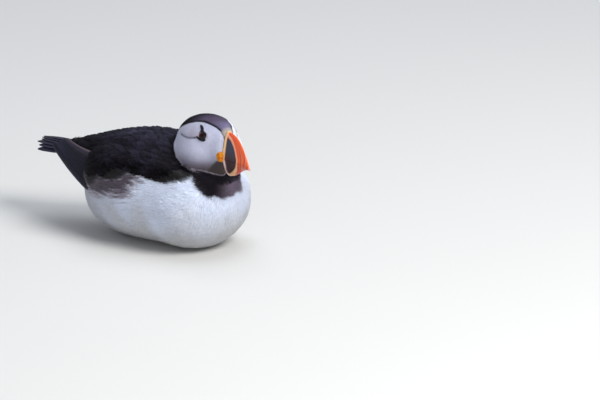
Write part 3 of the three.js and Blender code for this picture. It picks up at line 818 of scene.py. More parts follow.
def coloured(tree, principled, *factors):
    """The tint, times each factor in turn, as the shader's colour."""
    shade = tint_of(tree)
    for factor in factors:
        shade = scaled(tree, shade, factor)
    tree.links.new(shade, principled.inputs["Base Color"])


def bumped(tree, principled, height, strength, distance):
    made = node(tree, "Bump", {"Height": height, "Strength": strength, "Distance": distance * MM})
    tree.links.new(made.outputs["Normal"], principled.inputs["Normal"])


def maths(tree, operation, *values):
    return node(tree, "Math", dict(enumerate(values)), operation=operation).outputs[0]


def barbs(tree, count):
    """Fine slanted lines on both sides of a vane's shaft, from -1 to 1."""
    place = node(tree, "UVMap", uv_map="Vane").outputs["UV"]
    parts = node(tree, "SeparateXYZ", {"Vector": place})
    out = maths(tree, "ABSOLUTE", maths(tree, "SUBTRACT", parts.outputs["X"], 0.5))
    slant = maths(tree, "MULTIPLY_ADD", out, -0.5, parts.outputs["Y"])
    return maths(tree, "SINE", maths(tree, "MULTIPLY", slant, count * 2 * math.pi))


def plumage(name, roughness, barb_count, barb_shade, grain, **sockets):
    material, tree, principled = shader(name, roughness, **sockets)
    lines = barbs(tree, barb_count)
    cloud = ranged(tree, noise(tree, grain), 0.82, 1.18)
    coloured(tree, principled, cloud, ranged(tree, lines, 1 - barb_shade, 1.0, -1.0))
    bumped(tree, principled, lines, 0.35, 0.05)
    return material


def make_materials():
    black_sheen = (*colour(150, 160, 200), 1)
    return {
        "white": plumage(
            "white_plumage", 0.85, 9, 0.1, 900.0, Sheen_Weight=0.25, Sheen_Roughness=0.5,
            Specular_IOR_Level=0.25,
        ),
        "black": plumage(
            "black_plumage", 0.6, 10, 0.16, 500.0, Sheen_Weight=0.02, Sheen_Roughness=0.4,
            Sheen_Tint=black_sheen, Specular_IOR_Level=0.05,
        ),
        "face": plumage(
            "face_plumage", 0.8, 5, 0.08, 1500.0, Sheen_Weight=0.2, Sheen_Roughness=0.5,
            Specular_IOR_Level=0.25,
        ),
        "quill": quill_material(),
        "skin": skin_material(),
        "bill": horn_material("bill_horn", 0.34, 0.25),
        "plate": horn_material("eye_horn", 0.5, 0.3, 0.2),
        "claw": horn_material("claw_horn", 0.4, 0.3),
        "rosette": rosette_material(),
        "lid": horn_material("lid_skin", 0.55, 0.5, 0.2),
        "eye": eye_material(),
        "leg": leg_material(),
        "floor": floor_material(),
    }


def skin_material():
    material, tree, principled = shader("under_plumage", 0.9, Specular_IOR_Level=0.2)
    grain = noise(tree, 900.0, stretch=(0.35, 1.0, 1.0))
    coloured(tree, principled, ranged(tree, grain, 0.5, 0.95))
    bumped(tree, principled, grain, 0.5, 0.5)
    return material


def quill_material():
    material, tree, principled = shader(
        "flight_quills", 0.48, Sheen_Weight=0.05, Sheen_Roughness=0.35, Specular_IOR_Level=0.25
    )
    lines = barbs(tree, 90)
    cloud = ranged(tree, noise(tree, 260.0), 0.75, 1.25)
    coloured(tree, principled, cloud, ranged(tree, lines, 0.8, 1.05, -1.0))
    bumped(tree, principled, lines, 0.4, 0.05)
    return material


def horn_material(name, roughness, grain_strength, specular=0.5):
    """Keratin: growth lines and fine scratches, glossier where it is worn."""
    material, tree, principled = shader(
        name, roughness, Coat_Weight=0.24 * specular, Coat_Roughness=0.3, Specular_IOR_Level=specular
    )
    grain = noise(tree, 1400.0, 5.0, (0.5, 1.0, 1.6))
    cloud = ranged(tree, noise(tree, 180.0), 0.86, 1.14)
    coloured(tree, principled, cloud, ranged(tree, grain, 0.9, 1.1))
    tree.links.new(ranged(tree, grain, roughness - 0.1, roughness + 0.14), principled.inputs["Roughness"])
    bumped(tree, principled, grain, grain_strength, 0.12)
    return material


def rosette_material():
    material, tree, principled = shader(
        "gape_skin", 0.6, Subsurface_Weight=0.1, Subsurface_Scale=0.001, Specular_IOR_Level=0.25
    )
    coloured(tree, principled, ranged(tree, noise(tree, 520.0), 0.75, 1.2))
    bumped(tree, principled, noise(tree, 1300.0, 4.0), 0.4, 0.25)
    return material


def eye_material():
    material, tree, principled = shader(
        "eye", 0.1, Coat_Weight=0.3, Coat_Roughness=0.03, Specular_IOR_Level=0.15
    )
    coloured(tree, principled, ranged(tree, noise(tree, 1800.0), 0.6, 1.4))
    return material


def leg_material():
    material, tree, principled = shader("leg_skin", 0.45, Coat_Weight=0.1, Coat_Roughness=0.3)
    place = node(tree, "TexCoord").outputs["Object"]
    scutes = node(tree, "TexVoronoi", {"Vector": place, "Scale": 620.0}, feature="DISTANCE_TO_EDGE")
    edge = ranged(tree, scutes.outputs["Distance"], 0.0, 1.0, end=0.12)
    coloured(tree, principled, ranged(tree, edge, 0.7, 1.05))
    bumped(tree, principled, edge, 0.5, 0.3)
    return material


def floor_material():
    material, tree, principled = shader("studio_floor", 0.75, Specular_IOR_Level=0.2)
    cloud = ranged(tree, noise(tree, 3.0), 0.97, 1.0)
    pale = node(tree, "RGB").outputs["Color"]
    pale.default_value = (*colour(222, 221, 218), 1)
    tree.links.new(scaled(tree, pale, cloud), principled.inputs["Base Color"])
    return material


# ---- plumage ----
BELLY_DENSITY = 4.2  # feathers for each square millimetre
BACK_DENSITY = 1.0
NECK_DENSITY = 8.0
HEAD_DENSITY = 8.0
SEEDS = {"belly": 41, "back": 43, "neck": 47, "head": 53}
BACK_FRINGE = colour(50, 48, 62)


def make_plumage(skin, materials):
    shades = marks_and_painted_light(skin.points, skin.headness)
    painted("skin", skin.points, skin.triangles, shades, materials["skin"], "black_plumage", *FLESH)
    make_belly(skin, materials)
    make_back(skin, materials)
    make_neck(skin, materials)
    make_head(skin, materials)


def make_belly(skin, materials):
    def density(p, heads):
        return BELLY_DENSITY * (whiteness(p) > 0.02) * (heads < 0.4)

    root, heads, rng = skin.scatter(density, SEEDS["belly"])
    n = len(root)
    flank = smooth((root[:, 2] - 34) / 22) * smooth((30 - root[:, 0]) / 30)
    border = 1 - whiteness(root)
    length = (rng.normal(11, 1.5, n) + 4 * flank) * (1 - 0.3 * border)
    width = rng.uniform(0.9, 2.0, n) * (1 - 0.3 * border)
    lift = rng.uniform(1.1, 2.6, n) + 0.6 * flank * rng.random(n)
    vanes = Vanes(skin, root, heads, length, width, lift, rng, 3, 1, pointed, arch=0.1, stray=0.13)
    coat("belly_coat", vanes, vane_colours(vanes, 0.035), materials["white"], "white_plumage")


def make_back(skin, materials):
    def density(p, heads):
        behind_collar = (past_collar(p) < 4) | (p[:, 0] < 36)
        return BACK_DENSITY * (whiteness(p) < 0.6) * (heads < 0.5) * behind_collar

    root, heads, rng = skin.scatter(density, SEEDS["back"])
    n = len(root)
    under = Vanes(
        skin, root, heads, rng.normal(8, 1, n), rng.uniform(2.2, 3.4, n), rng.uniform(0.2, 0.9, n),
        rng, 3, 1, rounded, arch=0.15,
    )
    coat("back_down", under, vane_colours(under, 0.22), materials["black"], "black_plumage")

    nearness = smooth((to_head(root)[:, 0] + 75) / 40)
    spacing = 3.3 - 1.2 * nearness
    kept = thinned(root, spacing, rng)
    root, heads, spacing = root[kept], heads[kept], spacing[kept]
    n = len(root)
    scales = Vanes(
        skin, root, heads, spacing * rng.normal(3.9, 0.3, n), spacing * rng.normal(2.2, 0.15, n),
        rng.uniform(1.4, 2.0, n), rng, 5, 4, rounded, arch=0.24, stiff=True, stray=0.09,
    )
    tint = vane_colours(scales, 0.3, BACK_FRINGE, 0.2)
    coat("back_coat", scales, tint, materials["black"], "black_plumage")


def make_neck(skin, materials):
    def density(p, heads):
        return NECK_DENSITY * (past_collar(p) > -2.0) * (p[:, 0] > 26) * (heads < 0.7)

    root, heads, rng = skin.scatter(density, SEEDS["neck"])
    n = len(root)
    border = smooth((6 - past_collar(root)) / 5)
    vanes = Vanes(
        skin, root, heads, rng.normal(4.6, 0.5, n) * (1 - 0.25 * border),
        rng.uniform(0.7, 1.3, n) * (1 - 0.3 * border), rng.uniform(0.9, 1.9, n) + 0.5 * border,
        rng, 3, 1, pointed, arch=0.15, stray=0.13,
    )
    coat("neck_coat", vanes, vane_colours(vanes, 0.1, along=0.8), materials["black"], "black_plumage")


def make_head(skin, materials):
    def density(p, heads):
        return (HEAD_DENSITY + 5 * by_bill_or_eye(p) + 4 * by_face_edge(p)) * (heads > 0.4)

    root, heads, rng = skin.scatter(density, SEEDS["head"])
    q = to_head(root)
    clear = clear_of_eye(q) & (q[:, 0] < bill_base(q[:, 2]) + 0.2)
    clear &= (heads > 0.75) | (under_face(root) < 0.3) | (from_face_edge(q) < -1.2)
    root, heads, q = root[clear], heads[clear], q[clear]
    n = len(root)
    small = by_bill_or_eye(root)
    fine = 1 - 0.6 * by_face_edge(root) * (1 - small)
    length = (3.6 - 2.1 * small) * fine * rng.normal(1, 0.1, n)
    width = (1.0 - 0.45 * small) * fine * rng.normal(1, 0.12, n)
    crease = distance_to(CREASE_LINE, q[:, 0], q[:, 2])
    lift = (0.95 - 0.6 * small) * rng.uniform(0.5, 1.1, n) * (0.25 + 0.75 * smooth(crease / 1.6))
    on_face = head_marks_and_painted_light(root)[1] > 0.5
    for name, chosen, spread, material, slot in (
        ("face_coat", on_face, 0.04, "face", "face"),
        ("crown_coat", ~on_face, 0.08, "black", "black_plumage"),
    ):
        vanes = Vanes(
            skin, root[chosen], heads[chosen], length[chosen], width[chosen], lift[chosen],
            rng, 2, 1, pointed, arch=0.15, sunk=0.2, stray=0.12,
        )
        coat(name, vanes, vane_colours(vanes, spread, along=1.0), materials[material], slot)


# ---- bill, in the head's frame ----
def arc(t):
    return np.sin(np.pi * np.clip(t, 0, 1))


def culmen(t):
    return BILL_ABOVE - (BILL_TIP_DROP + BILL_ABOVE) * (0.18 * t + 0.82 * t**3.2) + 0.3 * arc(t)


def gape(t):
    return -1.2 * arc(1.3 * t) - 4.2 * t**3 - 1.3 * t**12


def gonys(t):
    return -BILL_BELOW + (BILL_BELOW - BILL_TIP_DROP - 0.2) * smooth((t - 0.08) / 0.86) - 0.6 * arc(t)


def bill_half_width(t):
    return BILL_HALF_WIDTH + (BILL_TIP_HALF_WIDTH - BILL_HALF_WIDTH) * t**0.85


def bill_base(z):
    return 2.4 + 0.8 * ((z - 3) / 19) ** 2


SLATE = [
    [5.4, 17.3], [7.6, 17], [10.9, 15.4], [14.6, 11.8], [16.8, 8.5], [18.4, 4.6], [19.9, -0.6],
    [16.8, -6.6], [10.9, -10.9], [5, -12.6], [4.6, -6.2], [4.6, -1.9], [4.6, 2.4], [4.7, 8],
    [4.9, 12.2],
]
SLATE_LINE = curve_through(SLATE, 6, closed=True)
GROOVES = [(6.8, 0.9), (11.4, 0.8)]  # distance past the slate, and width
SLATE_BLUE = colour(54, 56, 78)
SLATE_MAROON = colour(62, 38, 40)
CREAM = colour(232, 190, 140)
PINK_CREAM = colour(238, 180, 158)
ORANGE = colour(255, 78, 16)
ORANGE_PALE = colour(255, 158, 102)
ORANGE_LOW = colour(190, 72, 34)
GROOVE_SHADE_RED = colour(176, 50, 18)
BASE_PINK = colour(214, 186, 184)
BASE_LINE_BROWN = colour(128, 92, 78)


def bill_zones(q):
    """Colours of the bill's sides and how far each point stands out from the smooth form."""
    x, _, z = q.T
    past = outside(SLATE_LINE, x, z)
    from_base = x - bill_base(z)
    rise = np.interp(z, [-12, 18], [0.0, 1.0])
    shade = mix(ORANGE, ORANGE_PALE, smooth((past - 2) / 3) * 0.25 + 0.5 * smooth(1 - (past - 1.6) / 1.6))
    shade = mix(shade, ORANGE_LOW, 0.8 * smooth((2 - z) / 9))
    shade = mix(shade, BASE_PINK, 0.45 * smooth((x - 22) / 10) * smooth((-3 - z) / 3))
    relief = np.zeros(len(q))
    for at, width in GROOVES:
        deep = smooth(1.2 - np.abs(past - at) / width) * smooth((15 - z) / 14) * smooth((z + 9) / 4)
        # painted shade: the grooves are painted a darker red as well as sunk into the horn
        shade = mix(shade, GROOVE_SHADE_RED, 0.5 * deep)
        relief -= 0.35 * deep
        ridge = smooth(1.2 - np.abs(past - at - 1.5) / 0.9) * smooth((11 - z) / 12) * smooth((z + 9) / 4)
        shade = mix(shade, PINK_CREAM, 0.4 * ridge)
        relief += 0.15 * ridge
    ridge_width = 0.95 + 0.8 * smooth((-4 - z) / 5)
    edge = smooth(1.35 - np.abs(past - 1.5) / ridge_width)
    shade = mix(shade, mix(PINK_CREAM, CREAM, 1 - rise), edge)
    relief += 0.5 * edge
    slate = smooth(0.5 - past / 0.7)
    shade = mix(shade, mix(SLATE_MAROON, SLATE_BLUE, smooth((z + 2) / 9)), slate)
    base = smooth(0.5 + (2.3 - from_base) / 0.7) * smooth(0.5 + past / 0.5)
    base = np.maximum(base, smooth((7 - x) / 3) * smooth((z - 18) / 3))
    shade = mix(shade, mix(BASE_PINK, CREAM, smooth((z + 1) / 4)), base)
    shade = mix(shade, BASE_LINE_BROWN, 0.8 * smooth((0.5 - from_base) / 0.5) * smooth((4 - z) / 4))
    relief += 0.7 * smooth(1.3 - np.abs(from_base - 1.1) / 1.2)
    return shade, relief


def bill_half(name, start, end, narrowing, reach, materials):
    """One half of the bill as rings from the base to the tip, over the ridge from side to side."""
    stations, around = 130, 72
    t = np.linspace(0, 1, stations)[:, None] * reach
    turn = np.linspace(-1, 1, 2 * around + 1)[None]
    rise = 1 - np.abs(turn) ** 1.6
    z = start(t) + (end(t) - start(t)) * rise
    y = np.sign(turn) * bill_half_width(t) * (1 - narrowing * rise) * np.sqrt(np.clip(1 - rise**7, 0, 1))
    x = bill_base(z) + (BILL_LENGTH - bill_base(z)) * t
    q = np.stack([x, y, z], -1).reshape(-1, 3)
    shade, relief = bill_zones(q)
    sideways = np.sign(turn) * np.sqrt(1 - rise**7)
    ridgeways = rise**6 * (1 if name == "bill_upper" else -1)
    outward = np.stack(np.broadcast_arrays(0 * y, sideways, ridgeways), -1)
    q = q + unit(outward.reshape(-1, 3)) * relief[:, None]
    q = q.reshape(stations, 2 * around + 1, 3)
    skirt = q[:1].copy()
    skirt[..., 0] -= BILL_SKIRT
    q = np.concatenate([skirt, q])
    shade = shade.reshape(stations, -1, 3)
    shade = np.concatenate([shade[:1], shade])
    rows, columns = q.shape[:2]
    faces = grid_faces(rows, columns, wrap=True)
    if name == "bill_lower":
        faces = faces[:, ::-1]
    points, shades = from_head(q.reshape(-1, 3)), shade.reshape(-1, 3)
    painted(name + "_horn", points, faces, shades, materials["bill"], "bill_horn", name)


def make_bill(materials):
    bill_half("bill_upper", gape, culmen, 0.62, 1.0, materials)
    bill_half("bill_lower", lambda t: gape(t) - MOUTH_GAP, gonys, 0.5, MANDIBLE_REACH, materials)


# ---- eyes, lids, plates and rosettes ----
IRIS = colour(34, 8, 6)
PUPIL = colour(6, 5, 6)
LID_RED = colour(190, 74, 58)
LID_DARK = colour(20, 13, 17)
LID_PALE = colour(172, 150, 166)
PLATE_SLATE = colour(20, 20, 29)
LID_PROFILE = [  # degrees out from the edge of the opening, and distance from the eye's centre
    [-1.5, 4.95], [0, 5.03], [1.5, 5.16], [3.2, 5.2], [5.2, 5.14], [9, 5.2], [16, 5.1], [27, 4.6],
]


def eye_frame(side):
    """Centre, and axes outward, forward and up, of the eye on one side, in the head's frame."""
    mirror = np.array([1, side, 1])
    out = unit(GAZE * mirror)
    forward = unit(np.array([1.0, 0, 0]) - out * out[0])
    up = np.cross(out, forward) * side * -1
    if up[2] < 0:
        up = -up
    return EYE_AT * mirror + LEFT_EYE_SHIFT * (side > 0), out, forward, up


def dome(centre, axes, angle, radius, turn):
    """Points on a sphere at an angle from its axis and a turn round it from forward to up."""
    out, forward, up = axes
    ring = np.cos(turn)[..., None] * forward + np.sin(turn)[..., None] * up
    return centre + radius[..., None] * (np.cos(angle)[..., None] * out + np.sin(angle)[..., None] * ring)


def opening(turn):
    """How far the lids open from the eye's axis: an almond with a corner at the back."""
    across, up = np.radians(LID_ANGLES)
    corner = np.radians(6) * np.clip(-np.cos(turn + 0.3), 0, 1) ** 9
    return 1 / np.hypot(np.cos(turn) / across, np.sin(turn) / up) + corner


def clear_of_eye(q):
    """Where feathers may root, so that none lies over the open eye."""
    centre, out, forward, up = eye_frame(1)
    on_right = q[:, 1:2] < 0
    mirrored = q * np.where(on_right, [1, -1, 1], 1)
    d = unit(mirrored - centre + LEFT_EYE_SHIFT * on_right)
    turn = np.arctan2(d @ up, d @ forward)
    angle = np.arccos(np.clip(d @ out, -1, 1))
    return angle > opening(turn) + np.radians(7 + 12 * np.clip(np.cos(turn), 0, 1))


def ringed(q):
    """Points and faces of a grid of rings in the head's frame."""
    return from_head(q.reshape(-1, 3)), grid_faces(*q.shape[:2], wrap=True)


def make_eyeball(side_name, side, materials):
    centre, *axes = eye_frame(side)
    angle, turn = rings(np.linspace(0.001, np.radians(100), 40), EYE_TURNS)
    ball = dome(centre, axes, angle, np.full(angle.shape, EYE_RADIUS), turn * -side)
    off_axis = np.degrees(angle.ravel())
    iris = smooth((off_axis - 17) / 4)
    shades = mix(PUPIL, IRIS, iris * (1 - 0.6 * smooth((off_axis - 30) / 8)))
    painted(f"eyeball_{side_name}", *ringed(ball), shades, materials["eye"], "eye", f"eye_{side_name}")


def make_eyelid(side_name, side, materials):
    centre, *axes = eye_frame(side)
    steps = curve_through(LID_PROFILE, 4)
    k, turn = rings(np.arange(len(steps)), EYE_TURNS)
    turn = turn * -side
    lid = dome(centre, axes, opening(turn) + np.radians(steps[k, 0]), steps[k, 1], turn)
    dark = smooth(1.6 * np.sin(turn + 0.6).ravel())
    rim = mix(LID_RED, LID_DARK, dark)
    skirt = mix(LID_PALE, PLATE_SLATE, dark)
    shades = mix(rim, skirt, smooth((steps[k, 0].ravel() - 2.2) / 2.2))
    painted(f"eyelid_{side_name}", *ringed(lid), shades, materials["lid"], "eye_horn")


UPPER_PLATE = [
    [-23.6, 25.6], [-20.8, 25.2], [-17.8, 23.9], [-15.2, 21.9], [-12.8, 19.6], [-11, 17], [-13.2, 17.8],
    [-15.6, 19], [-17.8, 19], [-17.8, 20.6], [-18.6, 22.6], [-20.8, 24.3],
]
LOWER_PLATE = [
    [-20.4, 16.6], [-18.8, 15.4], [-17, 14.4], [-14.4, 13.3], [-12.2, 13.2], [-11.2, 14.6], [-12.6, 15.6],
    [-15, 15.6], [-17.4, 16.4], [-19, 17.1],
]


PLATE_PROFILE = [  # share of the way from the middle to the outline, and height over the skin
    [0.0, 0.95], [0.35, 0.93], [0.62, 0.9], [0.82, 0.8], [0.94, 0.55], [1.0, 0.15], [1.03, -0.8],
]
LEFT_PLATE_SUNK = 0.65  # how much lower the plates lie on the left
OUTSIDE_HEAD = 18.0  # from there the plates' points are led in to the skin


def make_plate(name, outline, side, skin, materials):
    """A small horny plate that lies on the skin over or under the eye."""
    line = curve_through(outline, 5, closed=True)
    middle = line.mean(0)
    share, height = np.array(PLATE_PROFILE).T
    if side > 0:
        middle = middle + LEFT_EYE_SHIFT[[0, 2]]
        line = line + LEFT_EYE_SHIFT[[0, 2]]
        height = height - LEFT_PLATE_SUNK
    xz = middle + (line[None] - middle) * share[:, None, None]
    flat = xz.reshape(-1, 2)
    q = np.stack([flat[:, 0], np.full(len(flat), OUTSIDE_HEAD) * side, flat[:, 1]], 1)
    for _ in range(8):
        q[:, 1] -= skin.field.at(from_head(q))[0] * side
    p = from_head(q)
    far, normal = skin.field.at(p)
    p = p + normal * (np.repeat(height, len(line)) - far)[:, None]
    faces = grid_faces(len(share), len(line), wrap=True)
    faces = faces if side > 0 else faces[:, ::-1]
    shades = np.tile(PLATE_SLATE, (len(p), 1))
    painted(f"plate_{name}", p, faces, shades, materials["plate"], "eye_horn", f"eye_plate_{name}")


ROSETTE_YELLOW = colour(232, 152, 26)
ROSETTE_ORANGE = colour(206, 96, 16)


def make_rosette(side_name, side, materials):
    """The folded yellow skin at the corner of the mouth."""
    angle, turn = rings(np.linspace(0.0, np.pi, 48), 72)
    upward = np.sin(angle) * np.sin(turn) * -side
    d = np.stack([np.sin(angle) * np.cos(turn), np.cos(angle) * side, upward], -1)
    folds = 0.5 * np.sin(turn * 7 + 1.2 * np.sin(turn * 2)) + 0.5 * np.sin(angle * 9)
    slit = smooth(1 - np.abs(d[..., 2] + 0.1) / 0.16) * smooth((d[..., 0] + 0.2) / 0.5)
    grow = 1 + 0.055 * folds * np.sin(angle) - 0.16 * slit
    q = GAPE_SPOT_AT * [1, side, 1] + d * GAPE_SPOT_RADII * grow[..., None]
    shades = mix(ROSETTE_YELLOW, ROSETTE_ORANGE, np.clip(0.35 - 0.4 * folds + 0.8 * slit, 0, 1).ravel())
    solid = f"gape_rosette_{side_name}"
    painted(f"rosette_{side_name}", *ringed(q), shades, materials["rosette"], "gape_skin", solid)


# ---- flight feathers and tail: long vanes with a shaft ----
QUILL_BLACK = colour(84, 82, 108)
QUILL_EDGE = colour(150, 147, 176)
QUILL_PALE = colour(158, 146, 146)
SHAFT_BROWN = colour(30, 26, 28)
QUILL_THICKNESS = 0.7


def quill_shades(rows, v, edge, edge_side):
    """Colours across a long vane: paler rims, a dark shaft and, for the uppermost, a pale edge."""
    own = mix(QUILL_BLACK, QUILL_EDGE, 0.85 * smooth((np.abs(v) - 0.55) / 0.4))
    darkening = QUILL_BLACK  # the whole feather is multiplied by it, so that it is nearly black
    if edge is not None:
        own = mix(own, edge, smooth((v * edge_side - 0.82) / 0.1))
        darkening = edge
    own = mix(own, SHAFT_BROWN, np.exp(-((v / 0.08) ** 2)))
    return np.tile(own * darkening, (rows, 1, 1))


def long_vane(spine, across, width, outline, camber, edge=None, edge_side=1):
    """One closed feather: points, faces, colours and vane places, from its shaft's line."""
    rows, columns = len(spine), 15
    s = np.linspace(0, 1, rows)
    v = np.linspace(-1, 1, columns)
    along = unit(np.gradient(spine, axis=0))
    wide = unit(across - along * (across * along).sum(1)[:, None])
    up = np.cross(along, wide)
    half = (width / 2 * outline(s))[:, None]
    shaft = np.exp(-((v / 0.07) ** 2)) * (0.26 * (1 - 0.7 * s))[:, None]
    rim = 1 - 0.85 * smooth((np.abs(v) - 0.6) / 0.4)
    barb = 0.05 * np.sin(s[:, None] * 120 - np.abs(v) * 9)
    flat = spine[:, None] + wide[:, None] * (half * v)[..., None]
    top, bottom = (
        flat + up[:, None] * (-camber * half * v**2 + face * QUILL_THICKNESS / 2 * rim + detail)[..., None]
        for face, detail in ((1, shaft + barb), (-1, 0))
    )
    around = 2 * columns
    faces = grid_faces(rows, around, wrap=True)
    shade = quill_shades(rows, v, edge, edge_side)
    place = np.stack(np.broadcast_arrays(v[None] * 0.5 + 0.5, s[:, None]), -1)
    loop, shades, places = (
        np.concatenate([front, back[:, ::-1]], 1)
        for front, back in ((top, bottom), (shade, shade), (place, place))
    )
    caps = [[i, i + 1, around - 2 - i, around - 1 - i] for i in range(columns - 1)]
    last = (rows - 1) * around
    ends = [c[::-1] for c in caps] + [[last + i for i in c] for c in caps]
    return loop.reshape(-1, 3), np.vstack([faces, ends]), shades.reshape(-1, 3), places.reshape(-1, 2)


def joined_vanes(name, feathers, material, slot, *nodes):
    starts = np.cumsum([0] + [len(f[0]) for f in feathers[:-1]])
    points, shades, places = (np.vstack([f[i] for f in feathers]) for i in (0, 2, 3))
    faces = np.vstack([f[1] + s for f, s in zip(feathers, starts)])
    obj = new_object(name, points, faces)
    paint(obj, shades)
    add_map(obj, "Vane", places)
    return finished(obj, material, slot, *nodes)


def blade(s):
    """Outline of a flight feather: a narrow root, nearly even, with a round tip."""
    tip = np.clip((s - 0.84) / 0.16, 0, 1) ** 2.4
    return (0.45 + 0.55 * smooth(s / 0.22)) * np.sqrt(np.clip(1 - tip, 0.01, 1))


def tail_outline(s):
    """Outline of a tail feather, drawn in from beyond its middle to its tip."""
    tip = np.clip((s - 0.6) / 0.4, 0, 1) ** 1.25
    return (0.6 + 0.4 * smooth(s / 0.3)) * np.sqrt(np.clip(1 - tip, 0.008, 1))


# Root and tip of the lower and the upper edge of the folded wing's tip.
WING_TIP_LOW = np.array([[-46.0, 43, 41.5], [-113, 20, 71]])
WING_TIP_HIGH = np.array([[-50.0, 31, 71], [-105, 13, 76]])
FLIGHT_BOW = 4.0
LEFT_TIP_DROP = 5.0
PRIMARIES = 6
PRIMARY_CAMBER = 0.1
TAIL_FEATHERS = 10
TAIL_ROOT_X = -84.0
TAIL_TIP_X = -138.0
TAIL_FEATHER_WIDTH = 8.6
TAIL_CAMBER = 0.16


def make_flight_feathers(side_name, side, materials):
    """The closed wing tip: primaries that lie like tiles, the lowest the longest."""
    feathers = []
    s = np.linspace(0, 1, 46)[:, None]
    for k in range(PRIMARIES):
        level = (k + 0.5) / PRIMARIES
        reach = 1.0 - 0.028 * k * (1.2 - level)
        low = WING_TIP_LOW[0] + (WING_TIP_LOW[1] - WING_TIP_LOW[0]) * s * reach
        high = WING_TIP_HIGH[0] + (WING_TIP_HIGH[1] - WING_TIP_HIGH[0]) * s * reach
        spine = low + (high - low) * (0.94 * level)
        spine[:, 1] += (FLIGHT_BOW * np.sin(np.pi * s) - 1.2 + 0.34 * k)[:, 0]
        spine[:, 2] -= (LEFT_TIP_DROP * s * reach)[:, 0] * (side > 0)
        gap = np.linalg.norm(high - low, axis=1) / PRIMARIES
        across = high - low
        width = 2.15 * gap + 2.2
        across[:, 1] += 3.5
        spine[:, 1] *= side
        across[:, 1] *= side
        top = k == PRIMARIES - 1
        edge = QUILL_PALE if top else None
        feathers.append(long_vane(spine, across * side, width, blade, PRIMARY_CAMBER, edge, side))
    solid = f"flight_feathers_{side_name}"
    joined_vanes(f"primaries_{side_name}", feathers, materials["quill"], "quills", solid)


def make_tail(materials):
    feathers = []
    s = np.linspace(0, 1, 40)[:, None]
    for i in range(TAIL_FEATHERS):
        u = 2 * i / (TAIL_FEATHERS - 1) - 1
        level = 0.9 * (1 - abs(u)) + 0.15 * (i % 2)
        root = np.array([TAIL_ROOT_X, 7 * u, 66 - 3 * u * u + level])
        ragged = 1.6 * np.sin(2.4 * i)
        tip = np.array([TAIL_TIP_X + 5 * u * u + ragged, 14.5 * u, 67 - 6 * u * u + level])
        spine = root + (tip - root) * s
        spine[:, 2] += 1.2 * np.sin(np.pi * s[:, 0])
        across = np.tile([0.0, 1.0, -0.75 * u], (len(s), 1))
        width = np.full(len(s), TAIL_FEATHER_WIDTH)
        feathers.append(long_vane(spine, across, width, tail_outline, TAIL_CAMBER))
    joined_vanes("tail_fan", feathers, materials["quill"], "quills", "tail")


# ---- feet ----
ANKLE = np.array([-50, 7.5, 6.0])
FOOT = np.array([-24, 8.5, 4.5])
KNEE = np.array([-44, 12, 17.0])
TOE_ANGLES = [-6, -1, 4]
TOE_LENGTHS = [30, 36, 38]
CLAW_LENGTH = 6.0
WEB_TOP = 1.9
WEB_BOTTOM = 0.6
LEG_ORANGE = colour(226, 92, 26)
CLAW_DARK = colour(34, 28, 28)


def tube(path, radii, around):
    """A closed tube along a path: points, quads and the triangles of its ends."""
    path = np.asarray(path, float)
    along = unit(np.gradient(path, axis=0))
    level = unit(np.stack([-along[:, 1], along[:, 0], 0 * along[:, 0]], 1))
    upright = np.cross(along, level)
    a = turns(around)[None, :, None]
    ring = np.cos(a) * level[:, None] + np.sin(a) * upright[:, None]
    circles = path[:, None] + np.asarray(radii)[:, None, None] * ring
    points = np.vstack([circles.reshape(-1, 3), path[:1], path[-1:]])
    rows = len(path)
    n = rows * around
    faces = grid_faces(rows, around, wrap=True)
    i = np.arange(around)
    j = (i + 1) % around
    start = np.stack([np.full(around, n), j, i, np.full(around, n)], 1)
    end = np.stack([np.full(around, n + 1), (rows - 1) * around + i, (rows - 1) * around + j], 1)
    return points, faces, np.vstack([start[:, :3], end])


def add_tube(bm, path, radii, around=20):
    points, quads, triangles = tube(path, radii, around)
    made = [bm.verts.new(p * MM) for p in points]
    for face in [*quads.tolist(), *triangles.tolist()]:
        bm.faces.new([made[i] for i in face])


def object_from(bm, name, shade):
    bmesh.ops.recalc_face_normals(bm, faces=bm.faces)
    mesh = bpy.data.meshes.new(name)
    bm.to_mesh(mesh)
    bm.free()
    mesh.shade_smooth()
    obj = placed(name, mesh)
    paint(obj, np.tile(shade, (len(mesh.vertices), 1)))
    return obj


def toe_at(n, side, reach, height):
    a = math.radians(TOE_ANGLES[n])
    return [FOOT[0] + reach * math.cos(a), side * (FOOT[1] + reach * math.sin(a)), height]


def add_web(bm, n, side):
    """The web between one toe and the next, as its upper and its lower skin."""
    rows = []
    for t in np.linspace(0.05, 0.93, 20):
        a = np.array(toe_at(n, side, TOE_LENGTHS[n] * t, 0))
        b = np.array(toe_at(n + 1, side, TOE_LENGTHS[n + 1] * t, 0))
        cut = 1 - 0.06 * t
        rows.append([a + (b - a) * w for w in np.linspace(0, 1, 9) * cut + (1 - cut) / 2])
    grid = np.array(rows)
    sag = 0.5 * np.sin(np.linspace(0, np.pi, 9))
    layers = grid + [0, 0, WEB_TOP] - sag[None, :, None] * [0, 0, 1], grid + [0, 0, WEB_BOTTOM]
    corners = [[bm.verts.new(p * MM) for p in layer.reshape(-1, 3)] for layer in layers]
    for layer in corners:
        for face in grid_faces(*grid.shape[:2]).tolist():
            bm.faces.new([layer[i] for i in face])


